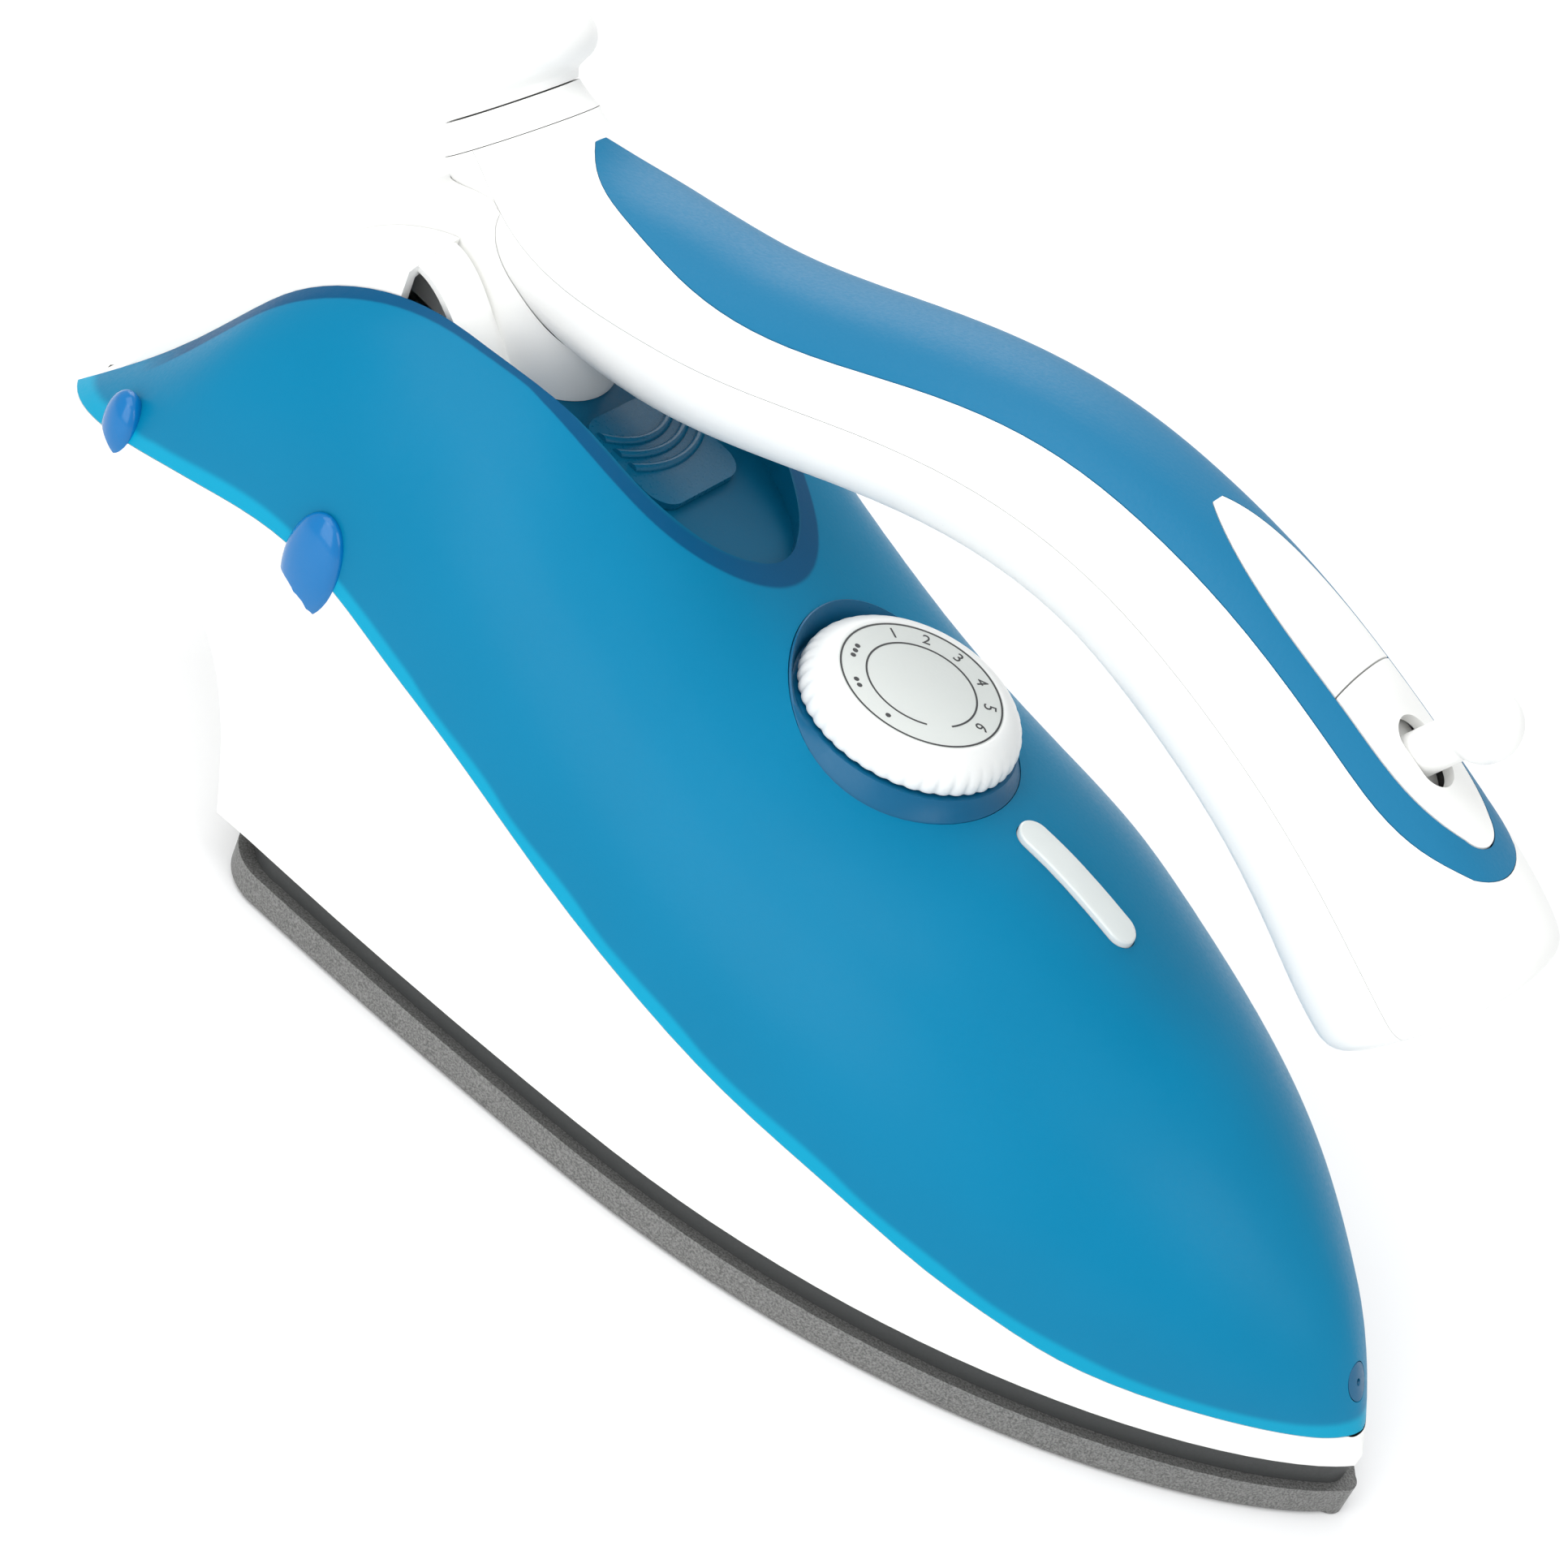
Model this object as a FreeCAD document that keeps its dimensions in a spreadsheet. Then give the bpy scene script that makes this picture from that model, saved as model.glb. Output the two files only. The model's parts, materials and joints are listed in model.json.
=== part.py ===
import FreeCAD, Part
import Sketcher
import math
import os

# Steam iron with a see-through tank, a handle held at its rear end and a flared heel.
# Millimetres. X runs from heel to nose, Y to the left, Z up.
# The origin lies on the sole face, midway between the ends of the soleplate.

doc = FreeCAD.newDocument("SteamIron")
sheet = doc.addObject("Spreadsheet::Sheet", "sizes")

# ---------------------------------------------------------------- driving sizes
DRIVING = [
    ("sole_length", 230.0, "soleplate, heel to nose"),
    ("sole_half_width", 57.0, "soleplate, centre line to widest point"),
    ("sole_taper", 136.0, "length over which the soleplate narrows to the nose"),
    ("sole_thickness", 6.5, "soleplate rim"),
    ("heel_corner", 13.0, "rounding of the soleplate's rear corners"),
    ("boss_height", 5.5, "heater casting above the rim"),
    ("boss_inset", 9.0, "heater casting inside the rim"),
    ("steam_hole_radius", 1.4, "steam holes"),
    ("chamber_depth", 4.0, "steam chamber below the casting's top"),
    ("chamber_half_width", 26.0, "steam chamber"),
    ("cover_thickness", 1.2, "steam chamber cover"),
    ("element_radius", 3.2, "heating element tube"),
    ("element_half_span", 36.0, "heating element leg to centre line"),
    ("shield_height", 4.4, "heat shield band above the soleplate rim"),
    ("shield_inset", 2.4, "heat shield band inside the rim"),
    ("skirt_inset", 1.2, "lower housing inside the soleplate rim"),
    ("tail_length", 80.0, "flared tail behind the heel"),
    ("crest_nose", 19.0, "body top just behind the nose"),
    ("crest_bow", 39.0, "body top where the nose rounds over"),
    ("crest_dial", 83.5, "deck at the dial"),
    ("crest_rim", 96.0, "deck at the front of the scoop"),
    ("crest_lobe", 118.5, "top of the two rear lobes"),
    ("crest_tail", 58.0, "top of the tail tips"),
    ("seam_nose", 19.0, "housing edge at the nose"),
    ("seam_rear", 71.0, "housing edge at its highest"),
    ("housing_wall", 2.4, "lower housing and rear cover"),
    ("tank_wall", 2.4, "water tank"),
    ("tank_floor", 2.4, "tank base tray"),
    ("cover_rise", 4.0, "rear cover above the lobes beside it"),
    ("dial_from_heel", 92.5, "dial axis ahead of the heel"),
    ("dial_tilt", 3.2, "dial axis leaning to the nose, degrees"),
    ("dial_radius", 20.4, "temperature dial"),
    ("dial_height", 6.8, "temperature dial"),
    ("dial_rounding", 4.2, "temperature dial's shoulder"),
    ("dial_flutes", 44.0, "flutes round the dial"),
    ("dial_face_radius", 15.6, "printed plate in the dial"),
    ("dial_ring_width", 3.0, "seat ring outside the dial"),
    ("seat_depth", 3.6, "dial seat below the deck at the axis"),
    ("seat_rise", 0.6, "dial seat above the deck at the axis"),
    ("shaft_radius", 2.5, "thermostat shaft"),
    ("thermostat_radius", 10.0, "thermostat"),
    ("thermostat_height", 9.0, "thermostat"),
    ("lens_from_dial", 41.5, "pilot lens ahead of the dial axis"),
    ("lens_length", 27.5, "pilot lens"),
    ("lens_width", 6.6, "pilot lens"),
    ("lens_rise", 1.2, "pilot lens above the deck"),
    ("scoop_half_width", 20.5, "scoop in front of the pillar"),
    ("scoop_depth", 3.2, "scoop floor below the deck"),
    ("hatch_length", 22.0, "filler hatch"),
    ("hatch_width", 25.0, "filler hatch"),
    ("filler_radius", 7.0, "filler neck bore"),
    ("pillar_half_width", 15.5, "pillar that carries the handle"),
    ("pillar_wall", 2.6, "pillar"),
    ("handle_base", 120.0, "level that the handle's spine is measured from"),
    ("grip_half_width", 17.2, "handle, centre line to side"),
    ("grip_half_height", 16.8, "handle, spine to top"),
    ("neck_radius", 14.3, "handle at its rear collar"),
    ("handle_wall", 2.4, "handle shells"),
    ("soft_half_width", 13.5, "soft grip on the handle's top"),
    ("soft_depth", 1.6, "soft grip"),
    ("panel_half_width", 9.4, "button and lever panel"),
    ("panel_depth", 2.0, "button and lever panel"),
    ("button_travel", 3.0, "spray button"),
    ("pump_radius", 5.5, "spray pump barrel"),
    ("pump_length", 13.0, "spray pump barrel"),
    ("piston_radius", 2.4, "spray pump piston"),
    ("lever_radius", 3.9, "steam lever stem"),
    ("lever_height", 7.0, "steam lever stem above the panel"),
    ("lever_travel", 5.0, "steam lever"),
    ("knob_radius", 6.4, "steam lever knob"),
    ("valve_radius", 6.5, "steam valve seat"),
    ("pin_radius", 1.5, "steam valve pin"),
    ("collar_length", 5.5, "collar on the handle's rear end"),
    ("bush_radius", 17.9, "flared cord bush"),
    ("bush_length", 13.5, "flared cord bush"),
    ("cord_bore", 3.6, "bore for the mains cord"),
    ("clip_rise", 2.6, "clips on the flanks"),
    ("hose_radius", 1.9, "suction and delivery hose"),
    ("hose_offset", 6.5, "hose to centre line"),
    ("gap", 0.3, "clearance between pieces that move or drop in"),
    ("seat_gap", 0.15, "clearance between fixed pieces"),
]
for row, (alias, value, note) in enumerate(DRIVING, start=1):
    sheet.set("A%d" % row, note)
    sheet.set("B%d" % row, repr(value))
    sheet.setAlias("B%d" % row, alias)
doc.recompute()


def size(alias):
    """A driving size, read from the sheet."""
    return float(getattr(sheet, alias))


HEEL = -size("sole_length") / 2
NOSE = size("sole_length") / 2
TAIL = HEEL - size("tail_length")
GAP = size("gap")
SEAT = size("seat_gap")
DIAL_X = HEEL + size("dial_from_heel")
LENS_X = DIAL_X + size("lens_from_dial")
BOSS_TOP = size("sole_thickness") + size("boss_height")
SKIRT_BOTTOM = size("sole_thickness") + size("shield_height") + GAP
FAR = 400.0
X_AXIS = FreeCAD.Vector(1, 0, 0)
Y_AXIS = FreeCAD.Vector(0, 1, 0)
Z_AXIS = FreeCAD.Vector(0, 0, 1)


def point(x, y, z):
    return FreeCAD.Vector(x, y, z)


# ---------------------------------------------------------------- lines of the body
def smooth_line(anchors):
    """A curve through a few (x, z) anchors that never overshoots between them."""
    xs = [anchor[0] for anchor in anchors]
    zs = [anchor[1] for anchor in anchors]
    last = len(xs) - 1
    steps = [(zs[i + 1] - zs[i]) / (xs[i + 1] - xs[i]) for i in range(last)]
    slopes = [steps[0]]
    for i in range(1, last):
        flat = steps[i - 1] * steps[i] <= 0
        slopes.append(0.0 if flat else 2 / (1 / steps[i - 1] + 1 / steps[i]))
    slopes.append(steps[-1])

    def line(x):
        if x <= xs[0]:
            return zs[0] + slopes[0] * (x - xs[0])
        if x >= xs[-1]:
            return zs[-1] + slopes[-1] * (x - xs[-1])
        i = max(k for k in range(last) if xs[k] <= x)
        run = xs[i + 1] - xs[i]
        u = (x - xs[i]) / run
        blend_out = u * u * (3 - 2 * u)
        ease_in = run * slopes[i] * u * (1 - u) ** 2
        ease_out = run * slopes[i + 1] * u * u * (u - 1)
        return zs[i] * (1 - blend_out) + zs[i + 1] * blend_out + ease_in + ease_out

    return line


def sole_half_width(x):
    """Half width of the soleplate: a full bow to the nose, nearly parallel to the heel."""
    widest = NOSE - size("sole_taper")
    if x >= NOSE:
        return 0.0
    if x > widest:
        along = (NOSE - x) / size("sole_taper")
        return size("sole_half_width") * (1 - (1 - along) ** 2) ** 0.775
    return size("sole_half_width") - 5.0 * ((widest - x) / 100) ** 2


crest = smooth_line([
    (TAIL - 4, size("crest_tail") - 8),
    (HEEL - 61.5, size("crest_tail") + 10.5),
    (HEEL - 50, 0.57 * size("crest_tail") + 0.43 * size("crest_lobe")),
    (HEEL - 37, size("crest_lobe") - 17.5),
    (HEEL - 25, size("crest_lobe") - 6),
    (HEEL - 14, size("crest_lobe") - 1.2),
    (HEEL - 4, size("crest_lobe")),
    (HEEL + 10, size("crest_lobe") - 1.9),
    (HEEL + 29, size("crest_lobe") - 8),
    (HEEL + 40, size("crest_rim") + 8.6),
    (HEEL + 58, size("crest_rim")),
    (HEEL + 75, size("crest_dial") + 5.5),
    (DIAL_X, size("crest_dial")),
    (LENS_X - 14, size("crest_dial") - 4.2),
    (LENS_X + 14, size("crest_dial") - 10.7),
    (NOSE - 55, size("crest_bow") + 24),
    (NOSE - 33, size("crest_bow") + 11),
    (NOSE - 20, size("crest_bow")),
    (NOSE - 11, size("crest_bow") - 10.5),
    (NOSE - 5, size("crest_nose")),
    (NOSE - 1.2, SKIRT_BOTTOM + 0.8),
])
seam = smooth_line([
    (TAIL - 4, size("seam_rear") - 17),
    (HEEL - 58, size("seam_rear") - 10.5),
    (HEEL - 40, size("seam_rear") - 5),
    (HEEL - 9, size("seam_rear")),
    (HEEL + 27, size("seam_rear") - 8),
    (HEEL + 75, size("seam_rear") - 24.5),
    (DIAL_X + 10, size("seam_rear") - 32),
    (DIAL_X + 42, size("seam_nose") + 13),
    (NOSE - 69, size("seam_nose") + 5.5),
    (NOSE - 41, size("seam_nose")),
    (NOSE + 4, size("seam_nose") - 1.0),
])
tail_half_width = smooth_line([
    (TAIL - 4, 39.0),
    (TAIL + 6, size("sole_half_width") - 10.5),
    (HEEL - 40, size("sole_half_width") - 6.5),
    (HEEL, sole_half_width(HEEL + 14) - size("skirt_inset") - 1.0),
    (HEEL + 14, sole_half_width(HEEL + 14) - size("skirt_inset")),
])
section_fullness = smooth_line([
    (TAIL, 3.0),
    (HEEL + 33, 2.9),
    (HEEL + 60, 2.7),
    (DIAL_X, 2.5),
    (LENS_X + 14, 2.05),
    (NOSE - 33, 1.85),
    (NOSE, 1.75),
])
SCOOP_FRONT = HEEL + 60
SCOOP_SLOPE = 0.16
valley_half_width = smooth_line([
    (TAIL - 30, 38.0),
    (TAIL + 7, 34.0),
    (HEEL - 40, 31.0),
    (HEEL - 4, 28.0),
    (HEEL + 17, size("scoop_half_width") + 4.7),
    (HEEL + 29, size("scoop_half_width") + 2.2),
    (HEEL + 38, size("scoop_half_width")),
    (SCOOP_FRONT - 14, size("scoop_half_width") - 3.5),
    (SCOOP_FRONT - 7, size("scoop_half_width") - 8.0),
    (SCOOP_FRONT - 2, size("scoop_half_width") - 14.0),
])


def body_half_width(x):
    if x > HEEL + 14:
        return sole_half_width(x + size("skirt_inset")) - size("skirt_inset")
    return tail_half_width(x)


def scoop_floor(x):
    """Floor of the scoop: it climbs gently from its front rim to the pillar."""
    return size("crest_rim") - size("scoop_depth") + SCOOP_SLOPE * (SCOOP_FRONT - x)


# ---------------------------------------------------------------- shape helpers
def smooth_curve(points, first=None, last=None):
    curve = Part.BSplineCurve()
    if first is None:
        curve.interpolate(points)
    else:
        curve.interpolate(Points=points, InitialTangent=first, FinalTangent=last)
    return curve.toShape()


def body_section(x, inset):
    """Closed outline across the body: upright skirt walls under a full arch."""
    half = body_half_width(x) - inset
    top = crest(x + 0.6 * inset if x > NOSE - 50 else x) - inset
    shoulder = SKIRT_BOTTOM + 0.35 * (top - SKIRT_BOTTOM)
    fullness = section_fullness(x)
    right = [(half, SKIRT_BOTTOM), (0.995 * half, 0.5 * (SKIRT_BOTTOM + shoulder))]
    for step in range(7):
        turn = math.radians(15 * step)
        across = 0.985 * half * math.cos(turn) ** (2 / fullness) if step < 6 else 0.0
        up = (top - shoulder) * math.sin(turn) ** (2 / fullness)
        right.append((across, shoulder + up))
    left = [(-across, up) for across, up in reversed(right[:-1])]
    points = [point(x, across, up) for across, up in right + left]
    arch = smooth_curve(points, Z_AXIS, -Z_AXIS)
    return Part.Wire([arch, Part.makeLine(points[-1], points[0])])


def body_form(inset):
    """The whole body above the soleplate, drawn in by a wall thickness."""
    tip = NOSE - size("skirt_inset") - 0.9
    rear = [TAIL - 2, TAIL + 6, HEEL - 54, HEEL - 39, HEEL - 25, HEEL - 14, HEEL - 4, HEEL + 12]
    middle = [HEEL + 29, HEEL + 40, HEEL + 58, HEEL + 75, DIAL_X, LENS_X - 14, LENS_X + 14]
    front = [NOSE - 55, NOSE - 33, NOSE - 20, NOSE - 11, NOSE - 5.5, tip]
    if inset > 0:
        rear[0] = TAIL - 2 + inset
        front = front[:-2] + [NOSE - 5.5 - 1.2 * inset] if inset < 3 else front[:-2]
    return Part.makeLoft([body_section(x, inset) for x in rear + middle + front], True, False)


def side_prism(line, x_from, x_to, z_far, lift=0.0):
    """Everything on one side of a side-view line, right across the body."""
    steps = 28
    xs = [x_from + (x_to - x_from) * i / steps for i in range(steps + 1)]
    points = [point(x, -FAR / 2, line(x) + lift) for x in xs]
    edge = smooth_curve(points)
    corners = [points[-1], point(x_to, -FAR / 2, z_far), point(x_from, -FAR / 2, z_far), points[0]]
    outline = Part.Wire([edge] + Part.makePolygon(corners).Edges)
    return Part.Face(outline).extrude(point(0, FAR, 0))


def plan_prism(half_width, xs, z_low, z_high, grow=0.0, nose=None):
    """An upright block whose plan is symmetric about the centre line."""
    right = [point(x, -(half_width(x) + grow), z_low) for x in xs]
    left = [point(p.x, -p.y, z_low) for p in reversed(right)]
    edges = [Part.makeLine(left[-1], right[0]), smooth_curve(right), smooth_curve(left)]
    if nose is None:
        edges.append(Part.makeLine(right[-1], left[0]))
    else:
        edges.append(Part.Arc(right[-1], point(nose + grow, 0, z_low), left[0]).toShape())
    face = Part.Face(Part.Wire(Part.sortEdges(edges)[0]))
    return face.extrude(point(0, 0, z_high - z_low))


def sole_prism(inset, z_low, z_high):
    """An upright block with the soleplate's own outline, drawn in by an inset."""
    tip = NOSE - 1.2 * inset - 1.0
    first = HEEL + inset + size("heel_corner")
    corner_y = sole_half_width(first) - inset
    side_x = [first + (tip - first) * (1 - (1 - i / 12) ** 1.8) for i in range(13)]
    side_x[-1] = tip - 0.25
    right = [point(x, -max(sole_half_width(x + 0.2 * inset) - inset, 1.5), z_low) for x in side_x]
    left = [point(p.x, -p.y, z_low) for p in reversed(right)]
    radius = size("heel_corner") - 0.3 * inset
    back = first - size("heel_corner")
    turn = radius * (1 - math.sqrt(0.5))
    near = [point(back, -(corner_y - radius), z_low),
            point(back + turn, -(corner_y - turn), z_low)]
    edges = [Part.Arc(near[0], near[1], right[0]).toShape(), smooth_curve(right),
             Part.Arc(right[-1], point(tip + 1.0, 0, z_low), left[0]).toShape(),
             smooth_curve(left),
             Part.Arc(left[-1], point(near[1].x, -near[1].y, z_low),
                      point(back, -near[0].y, z_low)).toShape(),
             Part.makeLine(point(back, -near[0].y, z_low), near[0])]
    face = Part.Face(Part.Wire(edges))
    return face.extrude(point(0, 0, z_high - z_low))


def rounded_path(corners, radius):
    """Straight runs joined by tangent arcs."""
    edges = []
    start = corners[0]
    for before, corner, after in zip(corners, corners[1:], corners[2:]):
        back = (before - corner).normalize()
        ahead = (after - corner).normalize()
        half_angle = back.getAngle(ahead) / 2
        reach = radius / math.tan(half_angle)
        inward = (back + ahead).normalize()
        middle = corner + inward * (radius / math.sin(half_angle) - radius)
        edges.append(Part.makeLine(start, corner + back * reach))
        edges.append(Part.Arc(corner + back * reach, middle, corner + ahead * reach).toShape())
        start = corner + ahead * reach
    edges.append(Part.makeLine(start, corners[-1]))
    return Part.Wire(edges)


def tube_along(path, radius):
    start = path.Edges[0].Curve
    first = path.Edges[0].valueAt(path.Edges[0].FirstParameter)
    ring = Part.Wire(Part.makeCircle(radius, first, start.Direction))
    return path.makePipeShell([ring], True, False)


def largest(shape):
    """The one solid of a cut that may leave crumbs no bigger than a grain."""
    return max(shape.Solids, key=lambda solid: solid.Volume)


# ---------------------------------------------------------------- sub-parts
nodes = []


def piece(label, shape):
    """A sub-part whose shape comes from lofts and cuts of the shared forms."""
    feature = doc.addObject("Part::Feature", label)
    feature.Shape = shape
    feature.Label = label
    nodes.append(feature)
    return shape


def finish(feature, label):
    """Names a sub-part that was built from document objects."""
    feature.Label = label
    nodes.append(feature)
    return feature


def bound(kind, name, place=None, **expressions):
    """A Part object whose sizes are bound to cells of the sheet."""
    feature = doc.addObject(kind, name)
    for prop, expression in expressions.items():
        feature.setExpression(prop, expression)
    if place is not None:
        feature.Placement = place
    return feature


def cut(name, base, tool):
    feature = doc.addObject("Part::Cut", name)
    feature.Base = base
    feature.Tool = tool
    return feature


def at(x, y, z, rotation=None):
    return FreeCAD.Placement(point(x, y, z), rotation or FreeCAD.Rotation())


def rod(radius, x, y, z_low, z_high):
    return Part.makeCylinder(radius, z_high - z_low, point(x, y, z_low))


# The soleplate: rim, heater casting, steam chamber and two rows of steam holes.
ELEMENT_Z = size("sole_thickness") + 1.8
PATH_FRONT = NOSE - 36
element_corners = [
    point(HEEL + 10, -size("element_half_span"), ELEMENT_Z),
    point(NOSE - 110, -size("element_half_span"), ELEMENT_Z),
    point(PATH_FRONT, 0, ELEMENT_Z),
    point(NOSE - 110, size("element_half_span"), ELEMENT_Z),
    point(HEEL + 10, size("element_half_span"), ELEMENT_Z),
]
element_path = rounded_path(element_corners, 14.0)


def chamber_prism(grow, z_low, z_high):
    """The steam chamber's outline: parallel sides that close in towards the nose."""
    half = size("chamber_half_width") + grow
    rear = HEEL + 55 - grow
    front = NOSE - 63 + grow
    outline = [(rear, -half), (NOSE - 110, -half), (front, -4.0 - grow),
               (front, 4.0 + grow), (NOSE - 110, half), (rear, half), (rear, -half)]
    face = Part.Face(Part.makePolygon([point(x, y, z_low) for x, y in outline]))
    return face.extrude(point(0, 0, z_high - z_low))


sole = sole_prism(0.0, 0.0, size("sole_thickness"))
sole = sole.fuse(sole_prism(size("boss_inset"), size("sole_thickness"), BOSS_TOP)).removeSplitter()
sole = sole.cut(chamber_prism(0.0, BOSS_TOP - size("chamber_depth"), BOSS_TOP + 1))
sole = sole.cut(tube_along(element_path, size("element_radius") + SEAT))
rim_edges = [edge for edge in sole.Edges if edge.BoundBox.ZMax < 0.01 and edge.Length > 15]
sole = sole.makeFillet(1.2, rim_edges)
hole_row = [(HEEL + 62 + 12.5 * i, size("chamber_half_width") - 5) for i in range(6)]
hole_row += [(NOSE - 106 + 9.5 * i, size("chamber_half_width") - 6.5 - 3.9 * i) for i in range(4)]
holes = [rod(size("steam_hole_radius"), x, side * y, -1, BOSS_TOP)
         for x, y in hole_row for side in (-1, 1)]
SCREW_SPOTS = [(HEEL + 36, -18.0), (HEEL + 36, 18.0), (NOSE - 33, 0.0)]
SCREW_RADIUS = 1.6
SCREW_HEAD_RADIUS = 3.2
SCREW_HEAD = 1.8
SCREW_DEPTH = 4.8
screw_bores = [rod(SCREW_RADIUS + 0.05, x, y, BOSS_TOP - SCREW_DEPTH - 0.2, BOSS_TOP + 1)
               for x, y in SCREW_SPOTS]
piece("soleplate", sole.cut(holes).cut(screw_bores))
piece("heating_element", tube_along(element_path, size("element_radius")))
seal_top = BOSS_TOP + 0.6
seal = chamber_prism(3.0, BOSS_TOP, seal_top).cut(chamber_prism(0.0, BOSS_TOP - 1, seal_top + 1))
piece("chamber_seal", seal)
cover_top = seal_top + size("cover_thickness")
VALVE_X = NOSE - 67
cover = chamber_prism(3.0, seal_top, cover_top).cut(rod(2.6, VALVE_X, 0, seal_top - 1, cover_top + 1))
piece("steam_chamber_cover", cover)
shield = sole_prism(size("shield_inset"), size("sole_thickness"), SKIRT_BOTTOM - GAP)
shield = shield.cut(sole_prism(size("boss_inset") - GAP, 0, SKIRT_BOTTOM + 5))
piece("heat_shield", shield)

# Body shells: the lower housing, the water tank above the seam, and the cover between the wings.
outer = body_form(0.0)
lining = body_form(size("housing_wall"))
tank_lining = body_form(size("tank_wall"))
tray_form = body_form(size("tank_wall") + SEAT)
WING_START = HEEL - 13
TAIL_BACK = TAIL - 20
HIGH = 2 * size("crest_lobe")
above_seam = side_prism(seam, TAIL_BACK, NOSE + 10, HIGH)
below_seam = side_prism(seam, TAIL_BACK, NOSE + 10, -10, -SEAT)


def heel_line(inset):
    """Side view of the heel: upright, then sweeping back under the tail."""
    return [point(HEEL - 1.5 + inset, -FAR / 2, SKIRT_BOTTOM - 1),
            point(HEEL - 3.5 + inset, -FAR / 2, 18 + 0.2 * inset),
            point(HEEL - 9 + 0.8 * inset, -FAR / 2, 33 + 0.6 * inset),
            point(HEEL - 19 + 0.4 * inset, -FAR / 2, 46 + inset),
            point(HEEL - 35, -FAR / 2, 53 + inset),
            point(HEEL - 53, -FAR / 2, 53.5 + inset),
            point(TAIL + 3, -FAR / 2, 50 + inset),
            point(TAIL - 6, -FAR / 2, 50.5 + inset)]


def heel_prism(inset):
    line = heel_line(inset)
    corners = [line[-1], point(TAIL - 6, -FAR / 2, HIGH), point(NOSE + 10, -FAR / 2, HIGH),
               point(NOSE + 10, -FAR / 2, SKIRT_BOTTOM - 1), line[0]]
    edges = [smooth_curve(line)] + Part.makePolygon(corners).Edges
    return Part.Face(Part.Wire(edges)).extrude(point(0, FAR, 0))


def tail_notch(grow):
    """The hollow between the two tail tips, seen from above."""
    ellipse = Part.Ellipse(point(TAIL - 27, 0, 0), 47 + grow, 34 + grow)
    face = Part.Face(Part.Wire(ellipse.toShape()))
    return face.extrude(point(0, 0, HIGH))


def valley(grow):
    """Room between the rear wings, full height: for the pillar foot and the rear cover."""
    xs = [TAIL_BACK, TAIL + 7, HEEL - 40, WING_START - 8, WING_START + 10 + grow]
    return plan_prism(valley_half_width, xs, 30, HIGH, grow)


def scoop(grow):
    """The oval hollow in front of the pillar; grown, it leaves a wall round it."""
    xs = [WING_START, HEEL - 4, HEEL + 17, HEEL + 29, HEEL + 38,
          SCOOP_FRONT - 14, SCOOP_FRONT - 7, SCOOP_FRONT - 2]
    block = plan_prism(valley_half_width, xs, 30, HIGH, grow, SCOOP_FRONT)
    return block.common(side_prism(scoop_floor, WING_START - 5, HEEL + 75, HIGH, -grow))


wing_gap = valley(0.0).common(Part.makeBox(FAR, FAR, HIGH, point(WING_START - FAR, -FAR / 2, 0)))
wing_gap_grown = valley(size("tank_wall")).common(
    Part.makeBox(FAR, FAR, HIGH, point(WING_START + size("tank_wall") - FAR, -FAR / 2, 0)))
notch = tail_notch(0.0)
notch_grown = tail_notch(size("housing_wall"))

housing = outer.common(below_seam).common(heel_prism(0.0)).cut(notch)
housing_room = lining.common(heel_prism(size("housing_wall"))).cut(notch_grown)
room_floor = Part.makeBox(FAR, FAR, 10, point(-FAR / 2, -FAR / 2, SKIRT_BOTTOM - 1))
sole_opening = room_floor.common(sole_prism(size("skirt_inset") + size("housing_wall"), 0, 40))
housing = housing.cut(housing_room).cut(sole_opening)
BEAM_LOW = BOSS_TOP + 1.2
BEAM_HIGH = BEAM_LOW + 2.5
BEAM_WIDTH = 11.0
POST_RADIUS = 4.0
beams = []
for x, y in SCREW_SPOTS[::2]:
    beam = Part.makeBox(BEAM_WIDTH, FAR, BEAM_HIGH - BEAM_LOW,
                        point(x - BEAM_WIDTH / 2, -FAR / 2, BEAM_LOW))
    beams.append(beam.common(body_form(0.5 * size("housing_wall"))))
posts = [rod(POST_RADIUS, x, y, BOSS_TOP + SEAT, BEAM_HIGH) for x, y in SCREW_SPOTS]
housing = housing.fuse(beams + posts)
housing = housing.cut([rod(SCREW_RADIUS + 0.2, x, y, 0, BEAM_HIGH + 1) for x, y in SCREW_SPOTS])
piece("lower_housing", largest(housing))
screws = []
for x, y in SCREW_SPOTS:
    shank = rod(SCREW_RADIUS, x, y, BOSS_TOP - SCREW_DEPTH, BEAM_HIGH)
    head = rod(SCREW_HEAD_RADIUS, x, y, BEAM_HIGH, BEAM_HIGH + SCREW_HEAD)
    screws.append(shank.fuse(head))
piece("sole_screws", Part.makeCompound(screws))

dial_axis = FreeCAD.Rotation(Y_AXIS, size("dial_tilt"))
DECK_Z = crest(DIAL_X)


def on_dial(height):
    """A place on the dial axis, measured up from the deck."""
    lean = dial_axis.multVec(Z_AXIS)
    return FreeCAD.Placement(point(DIAL_X, 0, DECK_Z) + lean * height, dial_axis)


def dial_rod(radius, low, high):
    bar = Part.makeCylinder(radius, high - low)
    bar.Placement = on_dial(low)
    return bar


def slot_prism(length, width, x, z_low, z_high):
    """An upright block with round ends, along X."""
    straight = length / 2 - width / 2
    near = [point(x - straight, -width / 2, z_low), point(x + straight, -width / 2, z_low)]
    far = [point(x + straight, width / 2, z_low), point(x - straight, width / 2, z_low)]
    edges = [Part.makeLine(*near),
             Part.Arc(near[1], point(x + length / 2, 0, z_low), far[0]).toShape(),
             Part.makeLine(*far),
             Part.Arc(far[1], point(x - length / 2, 0, z_low), near[0]).toShape()]
    return Part.Face(Part.Wire(edges)).extrude(point(0, 0, z_high - z_low))


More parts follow.
